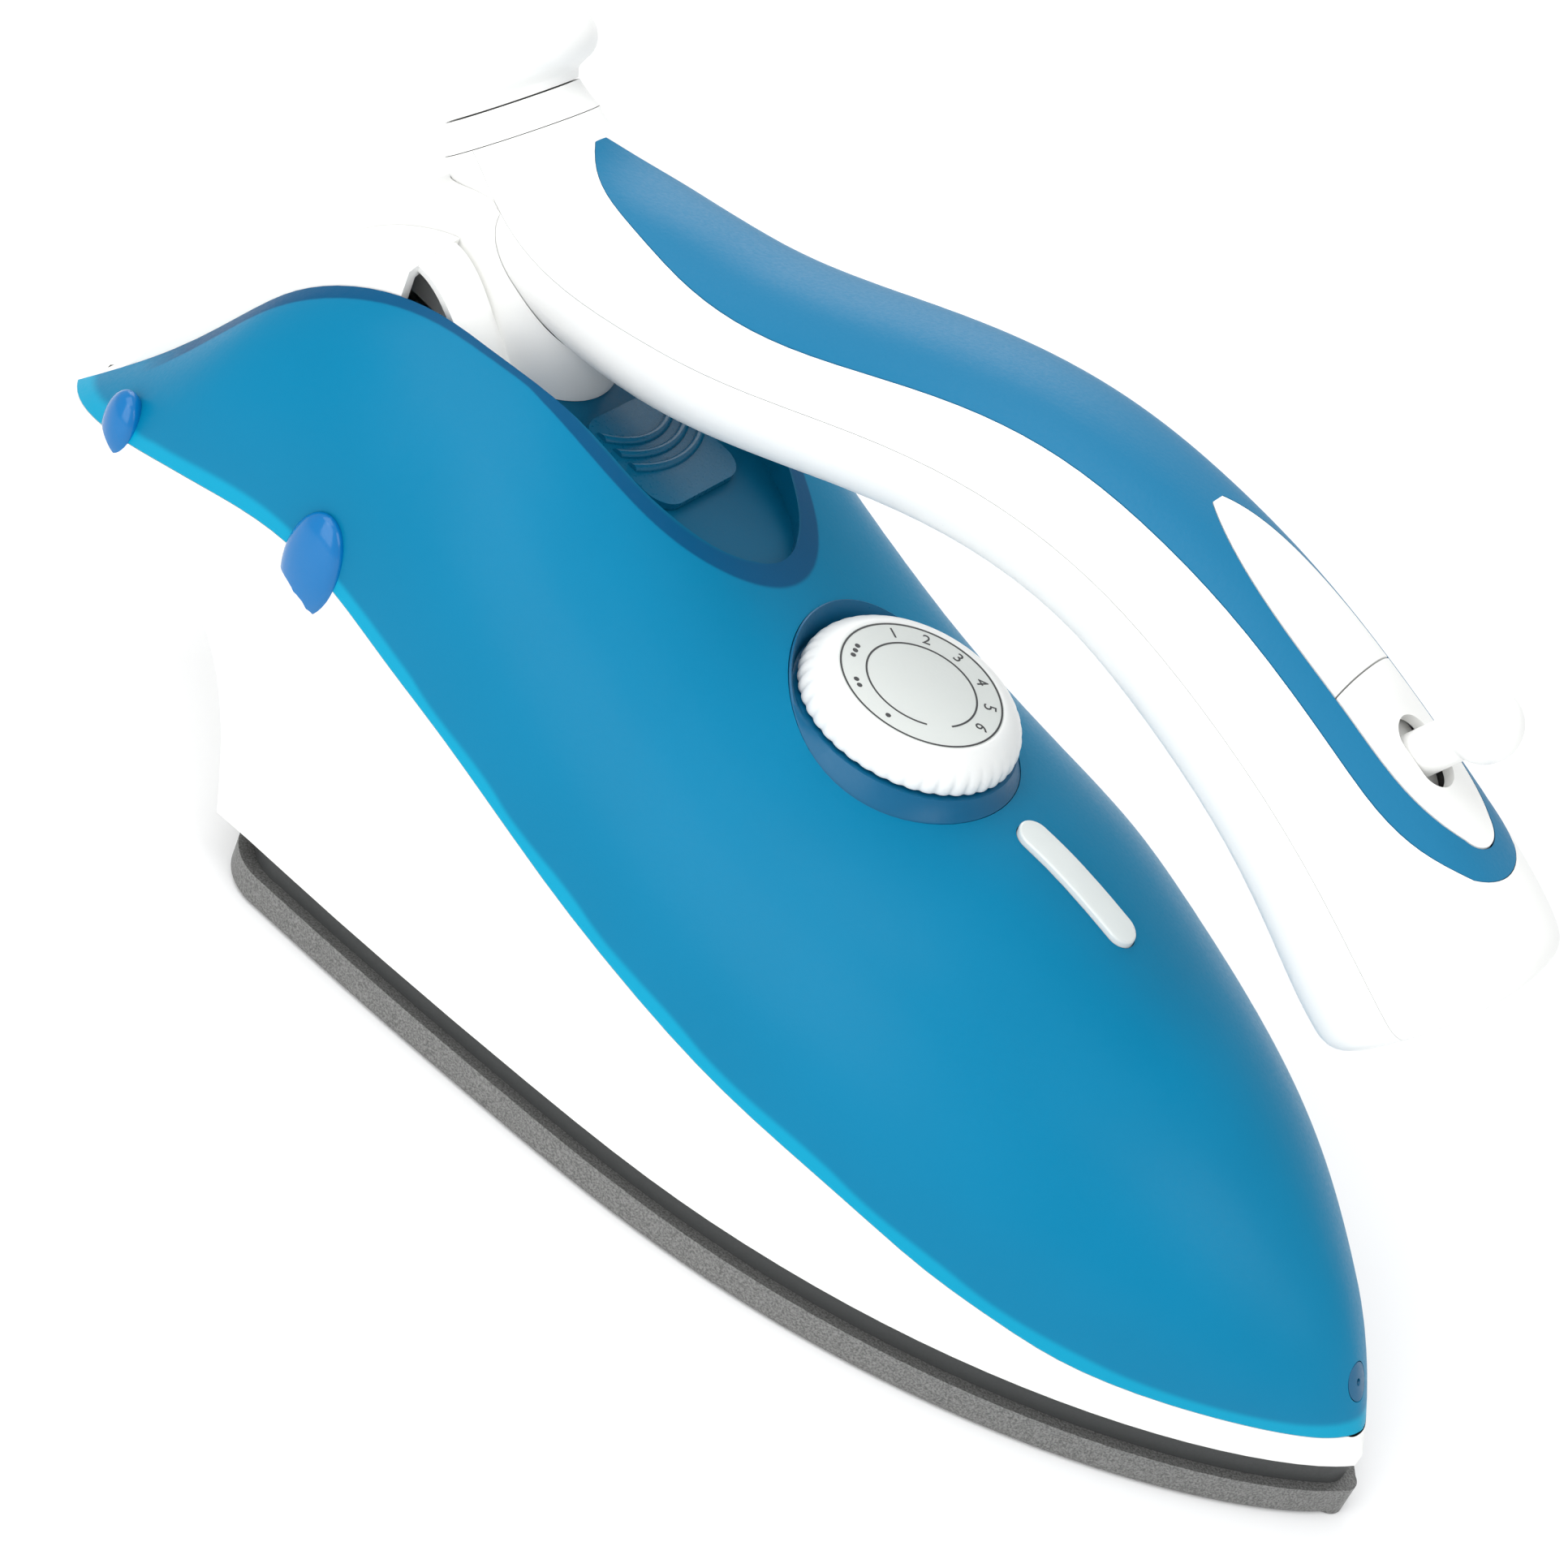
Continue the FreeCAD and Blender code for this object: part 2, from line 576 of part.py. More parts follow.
HATCH_X = HEEL + 18 + size("hatch_length") / 2 + 1.0
FILLER_X = HATCH_X - 1.0
NOZZLE_Z = seam(NOSE - 12) + 8
NOZZLE_RADIUS = 3.0
NOZZLE_BORE = 0.6
NOZZLE_REAR = NOSE - 29
BRACKET = 12.0
WELL_BORE = size("shaft_radius") + 0.8
LAMP_BORE = 4.0
HOSE_X = HEEL + 3
seat_radius = size("dial_radius") + size("dial_ring_width")
lens_hole = slot_prism(size("lens_length") + 2 * SEAT, size("lens_width") + 2 * SEAT, LENS_X, 0, HIGH)

tank = outer.common(above_seam).cut(wing_gap).cut(scoop(0.0)).cut(notch)
tank_room = tank_lining.cut(wing_gap_grown).cut(scoop(size("tank_wall"))).cut(notch_grown)
tank = tank.cut(tank_room)
seat_floor = -size("seat_depth") - size("tank_wall")
tank = tank.fuse(dial_rod(seat_radius + size("tank_wall"), seat_floor, 30).common(outer))
tank = tank.cut([dial_rod(seat_radius + SEAT, -size("seat_depth"), 30), dial_rod(WELL_BORE, -20, 30)])
tank = tank.cut([lens_hole, rod(size("filler_radius"), FILLER_X, 0, 60, HIGH)])
HOSE_Y = size("hose_offset")
HOSE_PORT = size("hose_radius") + GAP
hose_holes = [rod(HOSE_PORT, HOSE_X, side * HOSE_Y, 60, 105) for side in (-1, 1)]
nozzle_bore = Part.makeCylinder(NOZZLE_RADIUS + SEAT, 40, point(NOZZLE_REAR - 1, 0, NOZZLE_Z), X_AXIS)
tank = tank.cut(hose_holes + [nozzle_bore])
piece("water_tank", largest(tank))

tray = side_prism(seam, TAIL_BACK, NOSE + 10, HIGH, SEAT)
tray = tray.cut(side_prism(seam, TAIL_BACK - 1, NOSE + 11, HIGH + 1, SEAT + size("tank_floor")))
tray = tray.common(tray_form).cut(valley(size("tank_wall") + SEAT).common(
    Part.makeBox(FAR, FAR, HIGH, point(WING_START + size("tank_wall") + SEAT - FAR, -FAR / 2, 0))))
tray = tray.cut(tail_notch(size("housing_wall") + SEAT))
well_low = seam(DIAL_X) - DECK_Z + 0.5
wells = [dial_rod(WELL_BORE + 1.5, well_low, seat_floor - SEAT)]
lamp_low = seam(LENS_X) + 0.5
wells.append(rod(LAMP_BORE + 1.2, LENS_X, 0, lamp_low, crest(LENS_X) - 4.6))
valve_low = seam(VALVE_X)
wells.append(rod(size("valve_radius"), VALVE_X, 0, valve_low + 0.8, valve_low + 5.5))
tray = largest(tray.fuse(wells))
tray = tray.cut([dial_rod(WELL_BORE, well_low - 20, 10), rod(LAMP_BORE, LENS_X, 0, 0, HIGH),
                 rod(size("valve_radius") - 2.2, VALVE_X, 0, 0, HIGH)])
piece("tank_base", tray)

cover_line = smooth_line([
    (TAIL - 4, size("crest_tail") - 14),
    (TAIL + 8, size("crest_tail") - 3),
    (HEEL - 61, size("crest_tail") + 8),
    (HEEL - 48, size("crest_lobe") - 27.5),
    (HEEL - 36, size("crest_lobe") - 11.5),
    (HEEL - 22, size("crest_lobe")),
    (HEEL - 4, size("crest_lobe") + size("cover_rise")),
])


def below_cover(lift):
    return side_prism(cover_line, TAIL_BACK, WING_START + 5, 0, lift)


cover_form = body_form(-size("cover_rise")).common(below_cover(0.0))
rear = cover_form.common(valley(-GAP)).common(above_seam).cut(notch)
rear = rear.common(Part.makeBox(FAR, FAR, HIGH, point(WING_START - GAP - FAR, -FAR / 2, 0)))
rear_room = body_form(size("housing_wall") - size("cover_rise")).common(valley(-GAP - size("housing_wall")))
rear_room = rear_room.common(below_cover(-size("housing_wall"))).cut(notch_grown)

# Handle: one S-shaped form, its spine given in side view.
BASE = size("handle_base")
SPINE = [(HEEL - 17.5, 16.0), (HEEL - 9, 10.2), (HEEL + 2, 7.0), (HEEL + 22, 6.0),
         (HEEL + 45, 9.5), (HEEL + 70, 16.5), (HEEL + 95, 21.0), (HEEL + 120, 19.5),
         (HEEL + 148, 11.0), (HEEL + 173, -1.0), (HEEL + 193, -13.4)]
HEIGHT_SHARE = [0.0, 0.6, 0.9, 1.0, 0.97, 0.96, 0.98, 1.0, 1.08, 1.18, 1.27]
spine_curve = Part.BSplineCurve()
spine_curve.interpolate([point(x, 0, BASE + rise) for x, rise in SPINE])


def handle_section(spot, ahead, tall, wide, fullness):
    """A closed oval across the spine."""
    upward = point(-ahead.z, 0, ahead.x)
    points = []
    for step in range(16):
        turn = math.radians(22.5 * step)
        up = math.copysign(abs(math.sin(turn)) ** (2 / fullness), math.sin(turn))
        side = math.copysign(abs(math.cos(turn)) ** (2 / fullness), math.cos(turn))
        points.append(spot + upward * (tall * up) + Y_AXIS * (-wide * side))
    curve = Part.BSplineCurve()
    curve.interpolate(points, PeriodicFlag=True)
    return Part.Wire(curve.toShape())


def handle_form(inset, front_inset=None):
    """The handle's outside, drawn in by a wall, closed and rounded at its front end."""
    back_off = inset if front_inset is None else front_inset
    sections = []
    for i in range(len(SPINE)):
        spot = point(SPINE[i][0], 0, BASE + SPINE[i][1])
        ahead = spine_curve.tangent(spine_curve.parameter(spot))[0]
        share = HEIGHT_SHARE[i]
        if share < 0.5:
            tall = wide = size("neck_radius") - inset
            fullness = 2.0
        else:
            neck_blend = min(1.0, (share - 0.5) * 2.5)
            tall = size("grip_half_height") * share if share >= 0.9 else size("neck_radius") + 0.9
            wide = size("neck_radius") + (size("grip_half_width") - size("neck_radius")) * neck_blend
            wide += 1.6 * max(0.0, share - 1.0) / 0.27
            fullness = 2.0 + 0.4 * neck_blend
            tall -= inset
            wide -= inset
        sections.append(handle_section(spot, ahead, tall, wide, fullness))
    for reach, shrink in ((3.5, 0.985), (5.6, 0.94), (6.8, 0.86), (7.2, 0.76)):
        tip = spot + ahead * (reach - back_off)
        sections.append(handle_section(tip, ahead, tall * shrink, wide * shrink, fullness))
    return Part.makeLoft(sections, True, False)


def spine_height(x):
    """Height of the spine at a place along the iron."""
    ends = [point(x, 0, -FAR), point(x, 0, FAR)]
    hit = spine_curve.toShape().distToShape(Part.makeLine(*ends))[1][0][0]
    return hit.z


def spine_split(lift, z_far):
    """Everything above or below the handle's parting line."""
    start = spine_curve.value(spine_curve.FirstParameter)
    back = spine_curve.tangent(spine_curve.FirstParameter)[0]
    end = spine_curve.value(spine_curve.LastParameter)
    ahead = spine_curve.tangent(spine_curve.LastParameter)[0]
    rise = point(0, -FAR / 2, lift)
    run_out = 40.0
    edge = spine_curve.toShape()
    edge.translate(rise)
    head = start - back * run_out + rise
    toe = end + ahead * run_out + rise
    corners = [toe, point(toe.x, -FAR / 2, z_far), point(head.x, -FAR / 2, z_far), head]
    outline = Part.makePolygon(corners).Edges
    outline = [Part.makeLine(head, start + rise), edge, Part.makeLine(end + rise, toe)] + outline
    return Part.Face(Part.Wire(outline)).extrude(point(0, FAR, 0))


handle = handle_form(0.0)
handle_room = handle_form(size("handle_wall"))
handle_grown = handle_form(-SEAT, 0.0)
upper_half = spine_split(SEAT / 2, HIGH + 40)
lower_half = spine_split(-SEAT / 2, 0)

# Outlines on the handle's top, in plan: the soft grip and the panel inside it.
SOFT_REAR = HEEL - 2.5
SOFT_FRONT = HEEL + 196.5
PANEL_REAR = HEEL + 125
PANEL_FRONT = HEEL + 191.5
BUTTON_END = HEEL + 160
soft_outline = smooth_line([
    (SOFT_REAR, 1.5),
    (SOFT_REAR + 5, 6.0),
    (SOFT_REAR + 17, 10.5),
    (HEEL + 45, size("soft_half_width") - 0.5),
    (HEEL + 115, size("soft_half_width")),
    (HEEL + 155, size("soft_half_width") + 0.6),
    (SOFT_FRONT - 12, size("soft_half_width") - 1.4),
    (SOFT_FRONT - 3, 7.6),
])
panel_outline = smooth_line([
    (PANEL_REAR, 1.6),
    (PANEL_REAR + 5, 4.8),
    (PANEL_REAR + 16, size("panel_half_width") - 1.2),
    (PANEL_REAR + 35, size("panel_half_width")),
    (PANEL_FRONT - 16, size("panel_half_width") - 0.2),
    (PANEL_FRONT - 3, 4.6),
])


def outlined_block(outline, rear, front, grow):
    xs = [rear, rear + 5, rear + 16, (rear + front) / 2, front - 30, front - 12, front - 3]
    return plan_prism(outline, xs, BASE - 20, HIGH, grow, front)


soft_block = outlined_block(soft_outline, SOFT_REAR, SOFT_FRONT, 0.0)
soft_block_grown = outlined_block(soft_outline, SOFT_REAR, SOFT_FRONT, SEAT)
panel_block = outlined_block(panel_outline, PANEL_REAR, PANEL_FRONT, 0.0)
panel_block_grown = outlined_block(panel_outline, PANEL_REAR, PANEL_FRONT, GAP)

shell = handle.cut(handle_room)
recess = handle.cut(handle_form(size("soft_depth") + SEAT, 0.0)).common(soft_block_grown)
upper = shell.common(upper_half).cut(recess).cut(panel_block_grown.common(upper_half))
lower = shell.common(lower_half)
grip = handle.cut(handle_form(size("soft_depth"), 0.0)).common(soft_block).common(upper_half)
grip = grip.cut(panel_block_grown)
panel_skin = handle.cut(handle_form(size("panel_depth"), 0.0)).common(panel_block).common(upper_half)
button_side = Part.makeBox(FAR, FAR, HIGH, point(BUTTON_END - GAP / 2 - FAR, -FAR / 2, BASE - 20))
panel_side = Part.makeBox(FAR, FAR, HIGH, point(BUTTON_END + GAP / 2, -FAR / 2, BASE - 20))
button = panel_skin.common(button_side)
panel = panel_skin.common(panel_side)

# Screw posts join the two handle shells.
POST_SPOTS = [HEEL + 36, HEEL + 72, HEEL + 108]
COLUMN_RADIUS = 3.4
SHELL_SCREW_RADIUS = 1.2
SHELL_HEAD_RADIUS = 2.4
SHANK_LOW = -9.0
SHANK_HIGH = 8.0
SHELL_HEAD = 2.0
COLUMN_REACH = 40.0
upper_posts = []
lower_posts = []
handle_screws = []
screw_tunnels = []
for x in POST_SPOTS:
    middle = spine_height(x)
    column = rod(COLUMN_RADIUS, x, 0, middle - COLUMN_REACH, middle + COLUMN_REACH)
    column = column.common(handle_form(0.5 * size("handle_wall")))
    upper_posts.append(column.common(upper_half))
    lower_posts.append(column.common(lower_half))
    shank = rod(SHELL_SCREW_RADIUS, x, 0, middle + SHANK_LOW, middle + SHANK_HIGH)
    head = rod(SHELL_HEAD_RADIUS, x, 0, middle + SHANK_LOW - SHELL_HEAD, middle + SHANK_LOW)
    handle_screws.append(shank.fuse(head))
    upper_end = middle + SHANK_HIGH + 0.2
    screw_tunnels.append(rod(SHELL_SCREW_RADIUS + SEAT, x, 0, middle + SHANK_LOW, upper_end))
    head_top = middle + SHANK_LOW + SEAT
    screw_tunnels.append(rod(SHELL_HEAD_RADIUS + 0.2, x, 0, middle - COLUMN_REACH, head_top))
upper = upper.fuse([post.cut(soft_block_grown.common(recess)) for post in upper_posts])
upper = upper.cut(recess).cut(screw_tunnels)
lower = lower.fuse(lower_posts).cut(screw_tunnels)
piece("handle_upper_shell", largest(upper))
piece("handle_screws", Part.makeCompound(handle_screws))

# Pillar between the scoop and the underside of the handle.
PILLAR_FRONT = HEEL + 15
PILLAR_REAR = HEEL - 42


def pillar_plan(grow):
    half = size("pillar_half_width") + grow
    rear = PILLAR_REAR - grow
    nose_x = PILLAR_FRONT + grow
    near = point(nose_x - half, -half, 0)
    far = point(nose_x - half, half, 0)
    edges = [Part.makeLine(point(rear, -half, 0), near),
             Part.Arc(near, point(nose_x, 0, 0), far).toShape(),
             Part.makeLine(far, point(rear, half, 0)),
             Part.makeLine(point(rear, half, 0), point(rear, -half, 0))]
    return Part.Face(Part.Wire(edges)).extrude(point(0, 0, HIGH))


pillar_back = smooth_line([
    (PILLAR_REAR - 6, BASE - 34),
    (HEEL - 40, BASE - 21),
    (HEEL - 36, BASE - 12),
    (HEEL - 31, BASE - 3),
    (HEEL - 22, BASE + 6),
    (HEEL - 10, BASE + 10.5),
    (HEEL + 30, BASE + 12.5),
])


def pillar_form(grow):
    block = pillar_plan(grow).common(side_prism(pillar_back, PILLAR_REAR - 5, HEEL + 29, -5, grow))
    foot = side_prism(scoop_floor, PILLAR_REAR - 10, HEEL + 60, HIGH, SEAT)
    return block.common(foot)


pillar = pillar_form(0.0).cut(handle_grown).common(lower_half)
pillar = largest(pillar)
inside = pillar_form(-size("pillar_wall")).cut(handle_form(-size("pillar_wall"), 0.0))
crown = pillar_plan(-size("pillar_wall") - 1.0).common(
    Part.makeBox(34, FAR, HIGH, point(HEEL - 16, -FAR / 2, 0)))
pillar = largest(pillar.cut(inside.common(pillar)).cut(crown.common(handle_form(-size("pillar_wall") - 1, 0.0))))
hose_ports = [rod(HOSE_PORT, HOSE_X, side * HOSE_Y, 60, HIGH) for side in (-1, 1)]
piece("handle_pillar", pillar.cut(hose_ports))
for side in (-1, 1):
    tunnel = slot_prism(5 * HOSE_PORT, 2 * HOSE_PORT, HOSE_X + HOSE_PORT, BASE - 30, spine_height(HOSE_X))
    tunnel.translate(point(0, side * HOSE_Y, 0))
    lower = lower.cut(tunnel)
piece("handle_lower_shell", largest(lower))
rear = rear.cut(rear_room).cut(pillar_form(GAP)).cut(handle_grown)
piece("rear_cover", largest(rear))
piece("soft_grip", largest(grip))

# Spray button with its piston; the pump barrel stands below it on the lower shell.
PUMP_X = PANEL_REAR + 19
button_top = spine_height(PUMP_X) + size("grip_half_height")
pump_top = button_top - size("panel_depth") - size("button_travel") - 4.0
pump_low = pump_top - size("pump_length")
piston = rod(size("piston_radius"), PUMP_X, 0, pump_top - 7, button_top - 1.0)
piston = piston.common(handle_form(0.5))
piece("spray_button", largest(button.fuse(piston)))
stem_low = spine_height(PUMP_X) - size("grip_half_height") + size("handle_wall") + 2.5
barrel = rod(size("pump_radius"), PUMP_X, 0, pump_low, pump_top)
barrel = barrel.cut(rod(size("piston_radius") + 0.25, PUMP_X, 0, pump_low + 2, pump_top + 1))
barrel = barrel.fuse(rod(3.2, PUMP_X, 0, stem_low, pump_low))
piece("spray_pump", barrel)
spring_low = pump_top + SEAT
spring_high = button_top - size("panel_depth") - size("button_travel") - 0.8
WIRE = 0.4
coil_radius = size("piston_radius") + 1.4
coil = Part.makeHelix(1.3, spring_high - spring_low - 2 * WIRE, coil_radius)
coil_end = Part.Wire(Part.makeCircle(WIRE, point(coil_radius, 0, 0), Y_AXIS))
spring = coil.makePipeShell([coil_end], True, True)
spring.translate(point(PUMP_X, 0, spring_low + WIRE))
piece("button_spring", spring)

# Steam lever: a stem through the panel's slot, a knob on top, a slide plate below.
LEVER_X = HEEL + 175
spot_ahead = spine_curve.tangent(spine_curve.parameter(point(LEVER_X, 0, spine_height(LEVER_X))))[0]
LEVER_AHEAD = point(spot_ahead.x, 0, spot_ahead.z).normalize()
LEVER_UP = point(-LEVER_AHEAD.z, 0, LEVER_AHEAD.x)
lever_turn = FreeCAD.Rotation(Z_AXIS, LEVER_UP)
top_line = Part.makeLine(point(LEVER_X, 0, BASE - 60), point(LEVER_X, 0, HIGH + 40))
panel_z = max(vertex.Point.z for vertex in handle.common(top_line).Vertexes)
LEVER_FOOT = point(LEVER_X, 0, panel_z)


def lever_block(length, width, low, high):
    block = slot_prism(length, width, 0, low, high)
    block.Placement = FreeCAD.Placement(LEVER_FOOT, lever_turn)
    return block


slot_width = 2 * size("lever_radius") + 2 * GAP
slot_length = slot_width + size("lever_travel")
panel = panel.cut(lever_block(slot_length, slot_width, -12, 12))
piece("control_panel", largest(panel))
stem = lever_block(2 * size("lever_radius") + 0.02, 2 * size("lever_radius"), -4.2, size("lever_height"))
plate = lever_block(slot_length + size("lever_travel") - 1.0, slot_width + 3.0, -5.7, -4.2)
piece("steam_lever_stem", stem.fuse(plate))
knob = Part.makeSphere(size("knob_radius"))
KNOB_SINK = 0.72
knob_centre = size("lever_height") + KNOB_SINK * size("knob_radius")
knob.Placement = FreeCAD.Placement(LEVER_FOOT + LEVER_UP * knob_centre, lever_turn)
knob_flat = lever_block(60, 40, size("lever_height") + 0.02, 40)
piece("steam_lever_knob", knob.common(knob_flat))

# Steam valve: a pin over the dripper seat in the tank base.
pin_low = seal_top - 1.5
pin_high = crest(VALVE_X) - size("tank_wall") - 8.0
pin = rod(size("pin_radius"), VALVE_X, 0, pin_low, pin_high)
pin = pin.fuse(rod(size("valve_radius") - 2.8, VALVE_X, 0, valve_low + 1.0, valve_low + 4.0))
piece("steam_valve_pin", pin)
valve_tube = rod(4.2, VALVE_X, 0, cover_top + SEAT, seam(VALVE_X) - 0.6)
valve_tube = valve_tube.cut(rod(size("pin_radius") + GAP, VALVE_X, 0, 0, HIGH))
piece("steam_valve_body", valve_tube)

# Temperature dial: fluted knob, printed plate, seat ring, shaft and thermostat.
dial_body = bound("PartDesign::Body", "DialBody")
plane = [f for f in dial_body.Origin.OriginFeatures if f.Role == "XY_Plane"][0]


def circle_sketch(body, name, radius_expression, centre_x=None):
    sketch = body.newObject("Sketcher::SketchObject", name)
    sketch.AttachmentSupport = [(plane, "")]
    sketch.MapMode = "FlatFace"
    sketch.addGeometry(Part.Circle(point(0, 0, 0), Z_AXIS, 5.0), False)
    sketch.addConstraint(Sketcher.Constraint("Radius", 0, 5.0))
    sketch.setExpression("Constraints[0]", radius_expression)
    if centre_x is None:
        sketch.addConstraint(Sketcher.Constraint("Coincident", 0, 3, -1, 1))
    else:
        sketch.addConstraint(Sketcher.Constraint("PointOnObject", 0, 3, -1))
        sketch.addConstraint(Sketcher.Constraint("DistanceX", -1, 1, 0, 3, 20.0))
        sketch.setExpression("Constraints[2]", centre_x)
    return sketch


pad = dial_body.newObject("PartDesign::Pad", "DialPad")
pad.Profile = circle_sketch(dial_body, "DialOutline", "sizes.dial_radius")
pad.setExpression("Length", "sizes.dial_height")
doc.recompute()
top_edge = ["Edge%d" % (i + 1) for i, edge in enumerate(pad.Shape.Edges)
            if edge.BoundBox.ZMin > size("dial_height") - 0.01]
fillet = dial_body.newObject("PartDesign::Fillet", "DialRounding")
fillet.Base = (pad, top_edge)
fillet.setExpression("Radius", "sizes.dial_rounding")
recess_cut = dial_body.newObject("PartDesign::Pocket", "PlateRecess")
recess_cut.Profile = circle_sketch(dial_body, "PlateOutline", "sizes.dial_face_radius + sizes.seat_gap")
recess_cut.Profile[0].setExpression("AttachmentOffset.Base.z", "sizes.dial_height - 1")
recess_cut.Reversed = True
recess_cut.Length = 2.0
doc.recompute()
flute = dial_body.newObject("PartDesign::Pocket", "Flute")
flute.Profile = circle_sketch(dial_body, "FluteOutline", "1.1", "sizes.dial_radius + 0.55")
flute.Reversed = True
flute.setExpression("Length", "sizes.dial_height - 2")
doc.recompute()
pattern = dial_body.newObject("PartDesign::PolarPattern", "Flutes")
pattern.Originals = [flute]
pattern.Axis = (dial_body.Origin.OriginFeatures[2], [""])
pattern.Angle = 360.0
pattern.setExpression("Occurrences", "sizes.dial_flutes")
dial_body.Tip = pattern
doc.recompute()
DIAL_FOOT = size("seat_rise") + GAP
dial_body.Placement = on_dial(DIAL_FOOT)
finish(dial_body, "temperature_dial")
plate_disc = bound("Part::Cylinder", "PlateDisc", on_dial(DIAL_FOOT + size("dial_height") - 1.0),
                   Radius="sizes.dial_face_radius", Height="0.95")
finish(plate_disc, "dial_plate")
shaft_length = DECK_Z - cover_top - size("thermostat_height") - 2.2
shaft = bound("Part::Cylinder", "Shaft", on_dial(DIAL_FOOT - shaft_length),
              Radius="sizes.shaft_radius")
shaft.Height = shaft_length
finish(shaft, "thermostat_shaft")
ring_disc = bound("Part::Cylinder", "SeatDisc", on_dial(-size("seat_depth")),
                  Radius="sizes.dial_radius + sizes.dial_ring_width",
                  Height="sizes.seat_depth + sizes.seat_rise")
ring_hole = bound("Part::Cylinder", "SeatBore", on_dial(-size("seat_depth") - 1.0),
                  Radius="sizes.shaft_radius + 2 * sizes.gap",
                  Height="sizes.seat_depth + sizes.seat_rise + 2")
finish(cut("DialSeat", ring_disc, ring_hole), "dial_seat")
thermostat_top = size("seat_rise") - shaft_length
thermostat_base = bound("Part::Cylinder", "Thermostat", None, Radius="sizes.thermostat_radius",
                        Height="sizes.thermostat_height")
thermostat_base.Placement = at(on_dial(thermostat_top).Base.x, 0, cover_top + 0.02)
finish(thermostat_base, "thermostat")

# Pilot light: lens in the deck, lamp under it.
lens = body_form(-size("lens_rise")).cut(body_form(size("tank_wall"))).common(
    slot_prism(size("lens_length"), size("lens_width"), LENS_X, 40, HIGH))
piece("pilot_light_lens", largest(lens))
lamp = bound("Part::Cylinder", "Lamp", at(LENS_X, 0, crest(LENS_X) - size("tank_wall") - 14.0),
             Height="12")
lamp.Radius = 3.0
finish(lamp, "pilot_lamp")

# Filler hatch with finger ribs, sliding on the scoop floor.
hatch_slope = FreeCAD.Rotation(Y_AXIS, math.degrees(math.atan(SCOOP_SLOPE)))
HATCH_FOOT = point(HATCH_X, 0, scoop_floor(HATCH_X) + GAP)
HATCH_THICKNESS = 1.4
HATCH_CORNER = 5.0
RIB_RADII = (16.0, 19.2, 22.4)
RIB_HEIGHT = 0.9
hatch_rear = -size("hatch_length") / 2
hatch_side = -size("hatch_width") / 2
hatch = Part.makeBox(size("hatch_length"), size("hatch_width"), HATCH_THICKNESS,
                     point(hatch_rear, hatch_side, 0))
uprights = [edge for edge in hatch.Edges if abs(edge.Length - HATCH_THICKNESS) < 0.01]
hatch = hatch.makeFillet(HATCH_CORNER, uprights)
rib_room = Part.makeBox(size("hatch_length") - 1.0, size("hatch_width") - 4.0, 4.0,
                        point(hatch_rear + 0.5, hatch_side + 2.0, HATCH_THICKNESS - 0.4))
ribs = []
for radius in RIB_RADII:
    rib = Part.makeTorus(radius, RIB_HEIGHT, point(hatch_rear - 8.0, 0, HATCH_THICKNESS))
    ribs.append(rib.common(rib_room))
hatch = hatch.fuse(ribs)
hatch.Placement = FreeCAD.Placement(HATCH_FOOT, hatch_slope)
piece("filler_hatch", largest(hatch))

# Spray nozzle at the nose with its bracket.
nozzle = Part.makeCylinder(NOZZLE_RADIUS, 24, point(NOZZLE_REAR, 0, NOZZLE_Z), X_AXIS)
nozzle = nozzle.cut(Part.makeCylinder(NOZZLE_BORE, 60, point(NOSE - 50, 0, NOZZLE_Z), X_AXIS))
piece("spray_nozzle", nozzle.common(body_form(0.0)))
bracket = Part.makeBox(9, BRACKET, BRACKET, point(NOZZLE_REAR + 2, -BRACKET / 2, NOZZLE_Z - BRACKET / 2))
bracket = bracket.cut(nozzle_bore)
below_tray = side_prism(seam, TAIL_BACK, NOSE + 10, -20, 2 * SEAT + size("tank_floor"))
bracket = bracket.common(tray_form).cut(below_tray)
piece("nozzle_bracket", largest(bracket))

# Hoses from the tank up the pillar to the pump, and from the tank to the nozzle.


def hose(side):
    """One hose: up the pillar, then forward inside the handle to the pump."""
    y = side * HOSE_Y
    low = 5.0
    stops = [point(x, y, spine_height(x) - low) for x in (HOSE_X, HEEL + 45, HEEL + 95, PUMP_X - 7)]
    route = rounded_path([point(HOSE_X, y, seam(HOSE_X) + 8)] + stops, 7.0)
    return tube_along(route, size("hose_radius"))


piece("suction_hose", hose(1))
piece("delivery_hose", hose(-1))

# Rear end of the handle: a fixed collar, and the flared cord bush that swivels in it.
CORD_AXIS = spine_curve.tangent(spine_curve.FirstParameter)[0] * -1.0
CORD_START = spine_curve.value(spine_curve.FirstParameter)
cord_turn = FreeCAD.Rotation(Z_AXIS, CORD_AXIS)


def turned(profile):
    """A turned piece: its profile is (radius, distance behind the collar seam)."""
    outline = Part.makePolygon([point(radius, 0, along) for radius, along in profile + profile[:1]])
    body = Part.Face(outline).revolve(point(0, 0, 0), Z_AXIS, 360)
    body.Placement = FreeCAD.Placement(CORD_START, cord_turn)
    return body


def turned_smooth(bore, curve_points):
    """A turned piece whose outside is a smooth curve."""
    points = [point(radius, 0, along) for radius, along in curve_points]
    edges = [smooth_curve(points), Part.makeLine(points[-1], point(bore, 0, points[-1].z)),
             Part.makeLine(point(bore, 0, points[-1].z), point(bore, 0, points[0].z)),
             Part.makeLine(point(bore, 0, points[0].z), points[0])]
    body = Part.Face(Part.Wire(edges)).revolve(point(0, 0, 0), Z_AXIS, 360)
    body.Placement = FreeCAD.Placement(CORD_START, cord_turn)
    return body


